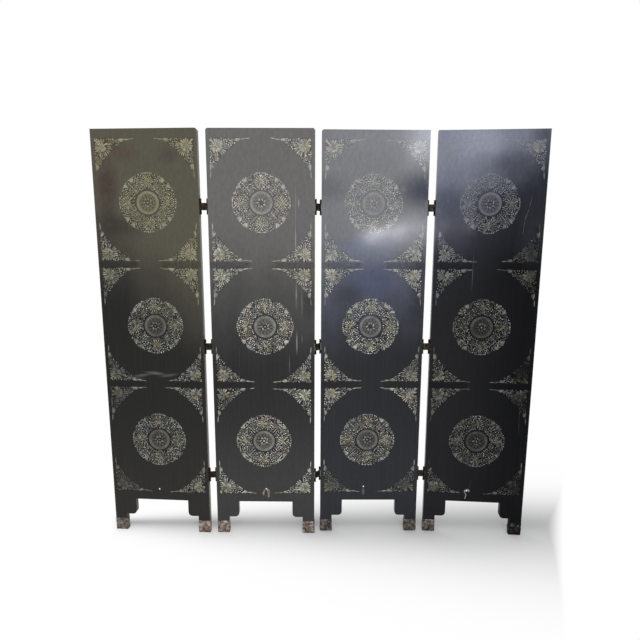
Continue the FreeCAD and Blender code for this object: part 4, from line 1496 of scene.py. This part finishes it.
# %% [markdown]
# ## Round-headed nails
# The nails that hold the shoes have domed heads as tarnished as the sheet, and the single
# one low on each face is polished, its near-white tone a painted glint. A dome is the upper
# half of a sphere, cut flat and closed where it meets the surface.

# %% Make a dome
def dome(radius, height):
    shape = bmesh.new()
    bmesh.ops.create_uvsphere(shape, u_segments=20, v_segments=12, radius=1)
    everything = list(shape.verts) + list(shape.edges) + list(shape.faces)
    cut = bmesh.ops.bisect_plane(
        shape, geom=everything, plane_co=(0, 0, 0), plane_no=(0, 0, 1), clear_inner=True)
    rim = [item for item in cut["geom_cut"] if isinstance(item, bmesh.types.BMEdge)]
    bmesh.ops.holes_fill(shape, edges=rim, sides=0)
    bmesh.ops.scale(shape, vec=(radius, radius, height), verts=shape.verts)
    return shape


print("a dome:", len(dome(1, 1).faces), "faces")

# %% Drive the nails
PANEL_THICKNESS = 22 * MM
# the nails of the shoes are below this height, and the polished one is above it
STUD_LOWEST = 100 * MM
# the model's plain heads are this high, and the domes stand on the same surface
NAIL_HEAD_HEIGHT = 1.1 * MM
NAIL_DOME_HEIGHT = 1.4 * MM

for panel in PANELS:
    nails = bmesh.new()
    for low, high in solid_boxes(panel, "nails"):
        shape = dome((high.x - low.x) / 2, NAIL_DOME_HEIGHT)
        # the dome's pole points out of the face that the nail is driven into
        at_front = (low.y + high.y) / 2 < PANEL_THICKNESS / 2
        away = Matrix.Rotation(math.radians(90 if at_front else -90), 4, "X")
        head = low.y + NAIL_HEAD_HEIGHT if at_front else high.y - NAIL_HEAD_HEIGHT
        place = Vector(((low.x + high.x) / 2, head, (low.z + high.z) / 2))
        bmesh.ops.transform(shape, matrix=Matrix.Translation(place) @ away, verts=shape.verts)
        for face in shape.faces:
            face.material_index = 0 if low.z > STUD_LOWEST else 1
        join(nails, shape)
    add_piece(
        f"{panel}_domed_nails", nails, panel, [NAIL_BRASS_WITH_GLINT, TARNISHED_BRASS],
        [f"{panel}_nails"], smooth=True)

# %% [markdown]
# ## Scratches and scuffs
# Some marks can be told apart in the lacquer: long upright scratches, a curved one, and the
# rubbed patches under the nails. Each is a narrow strip of worn ground, laid along a smooth
# curve through a few points and tapered to both ends. Points are millimetres from the
# panel's left edge and from its top, and the last number is the breadth.

# %% Note where the marks are
SCRATCHES = {
    "panel_1": [([(250, 640), (252, 700), (249, 770)], 1.2)],
    "panel_2": [([(120, 900), (122, 980), (119, 1060)], 1.2)],
    "panel_3": [
        ([(404, 560), (408, 640), (406, 700)], 1.4),
        ([(60, 1180), (62, 1260), (60, 1330)], 1.2),
    ],
    "panel_4": [
        ([(398, 272), (390, 320), (376, 372), (371, 430)], 2.6),
        ([(415, 1180), (413, 1260), (416, 1330)], 1.4),
        ([(214, 1560), (210, 1590), (206, 1612)], 1.4),
    ],
}
SCUFFS = {
    "panel_2": [
        ([(226, 1608), (219, 1622), (220, 1640)], 8),
        ([(236, 1606), (244, 1620), (242, 1648)], 12),
    ],
    "panel_4": [
        ([(190, 1627), (188, 1618), (196, 1610), (206, 1611), (208, 1620)], 7),
        ([(190, 1626), (196, 1636), (193, 1646), (191, 1656)], 5),
    ],
}
print("scratched:", list(SCRATCHES), "scuffed:", list(SCUFFS))

# %% Draw a stroke
MARK_THICKNESS = 0.06 * MM
# the steps between two points of a mark
MARK_STEPS = 14


def smooth_path(points):
    # the curve passes through the points, by way of short arcs between them
    path = []
    points = [Vector((*point, 0)) for point in points]
    for step in range(len(points) - 1):
        before, start, end = points[max(step - 1, 0)], points[step], points[step + 1]
        after = points[min(step + 2, len(points) - 1)]
        arc = geometry.interpolate_bezier(
            start, start + (end - before) / 6, end - (after - start) / 6, end, MARK_STEPS)
        path += arc if step == len(points) - 2 else arc[:-1]
    return path


def stroke(path, breadth):
    strip = bmesh.new()
    last = len(path) - 1
    bmesh.ops.create_grid(strip, x_segments=last, y_segments=1, size=0.5)
    for vertex in strip.verts:
        step = round((vertex.co.x + 0.5) * last)
        run = (path[min(step + 1, last)] - path[max(step - 1, 0)]).normalized()
        # the strip never thins to nothing, so that its ends stay closed
        fullness = math.sin(math.pi * (0.04 + 0.92 * step / last)) ** 0.5
        half = math.copysign(breadth / 2 * fullness, vertex.co.y)
        u = path[step].x - run.y * half
        v = path[step].y + run.x * half
        vertex.co = (u * MM, 0, PANEL_HEIGHT - v * MM)
    give_thickness(strip, (0, -MARK_THICKNESS, 0))
    return strip


print("points along a short mark:", len(smooth_path([(0, 0), (0, 50), (0, 100)])))

# %% Lay the marks
SCRATCHED = matt_material(
    "rubbed_lacquer_ground", (4, 4, 16), 4.0, ((0.35, "#28282A"), (0.55, "#444449"), (0.7, "#626266")),
    0.6, shine=0.2)
SCUFFED = matt_material(
    "bared_wood_and_gesso", (5, 5, 9), 5.0, ((0.32, "#4E4846"), (0.5, "#8A7F7A"), (0.66, "#B8B2AC")), 0.7)

for name, material, panels in (("scratches", SCRATCHED, SCRATCHES), ("scuffs", SCUFFED, SCUFFS)):
    for panel, marks in panels.items():
        shape = bmesh.new()
        for points, breadth in marks:
            join(shape, stroke(smooth_path(points), breadth))
        add_piece(f"{panel}_{name}", shape, panel, [material])

# %% [markdown]
# ## Finish

# %% Close
print("the scene is dressed")
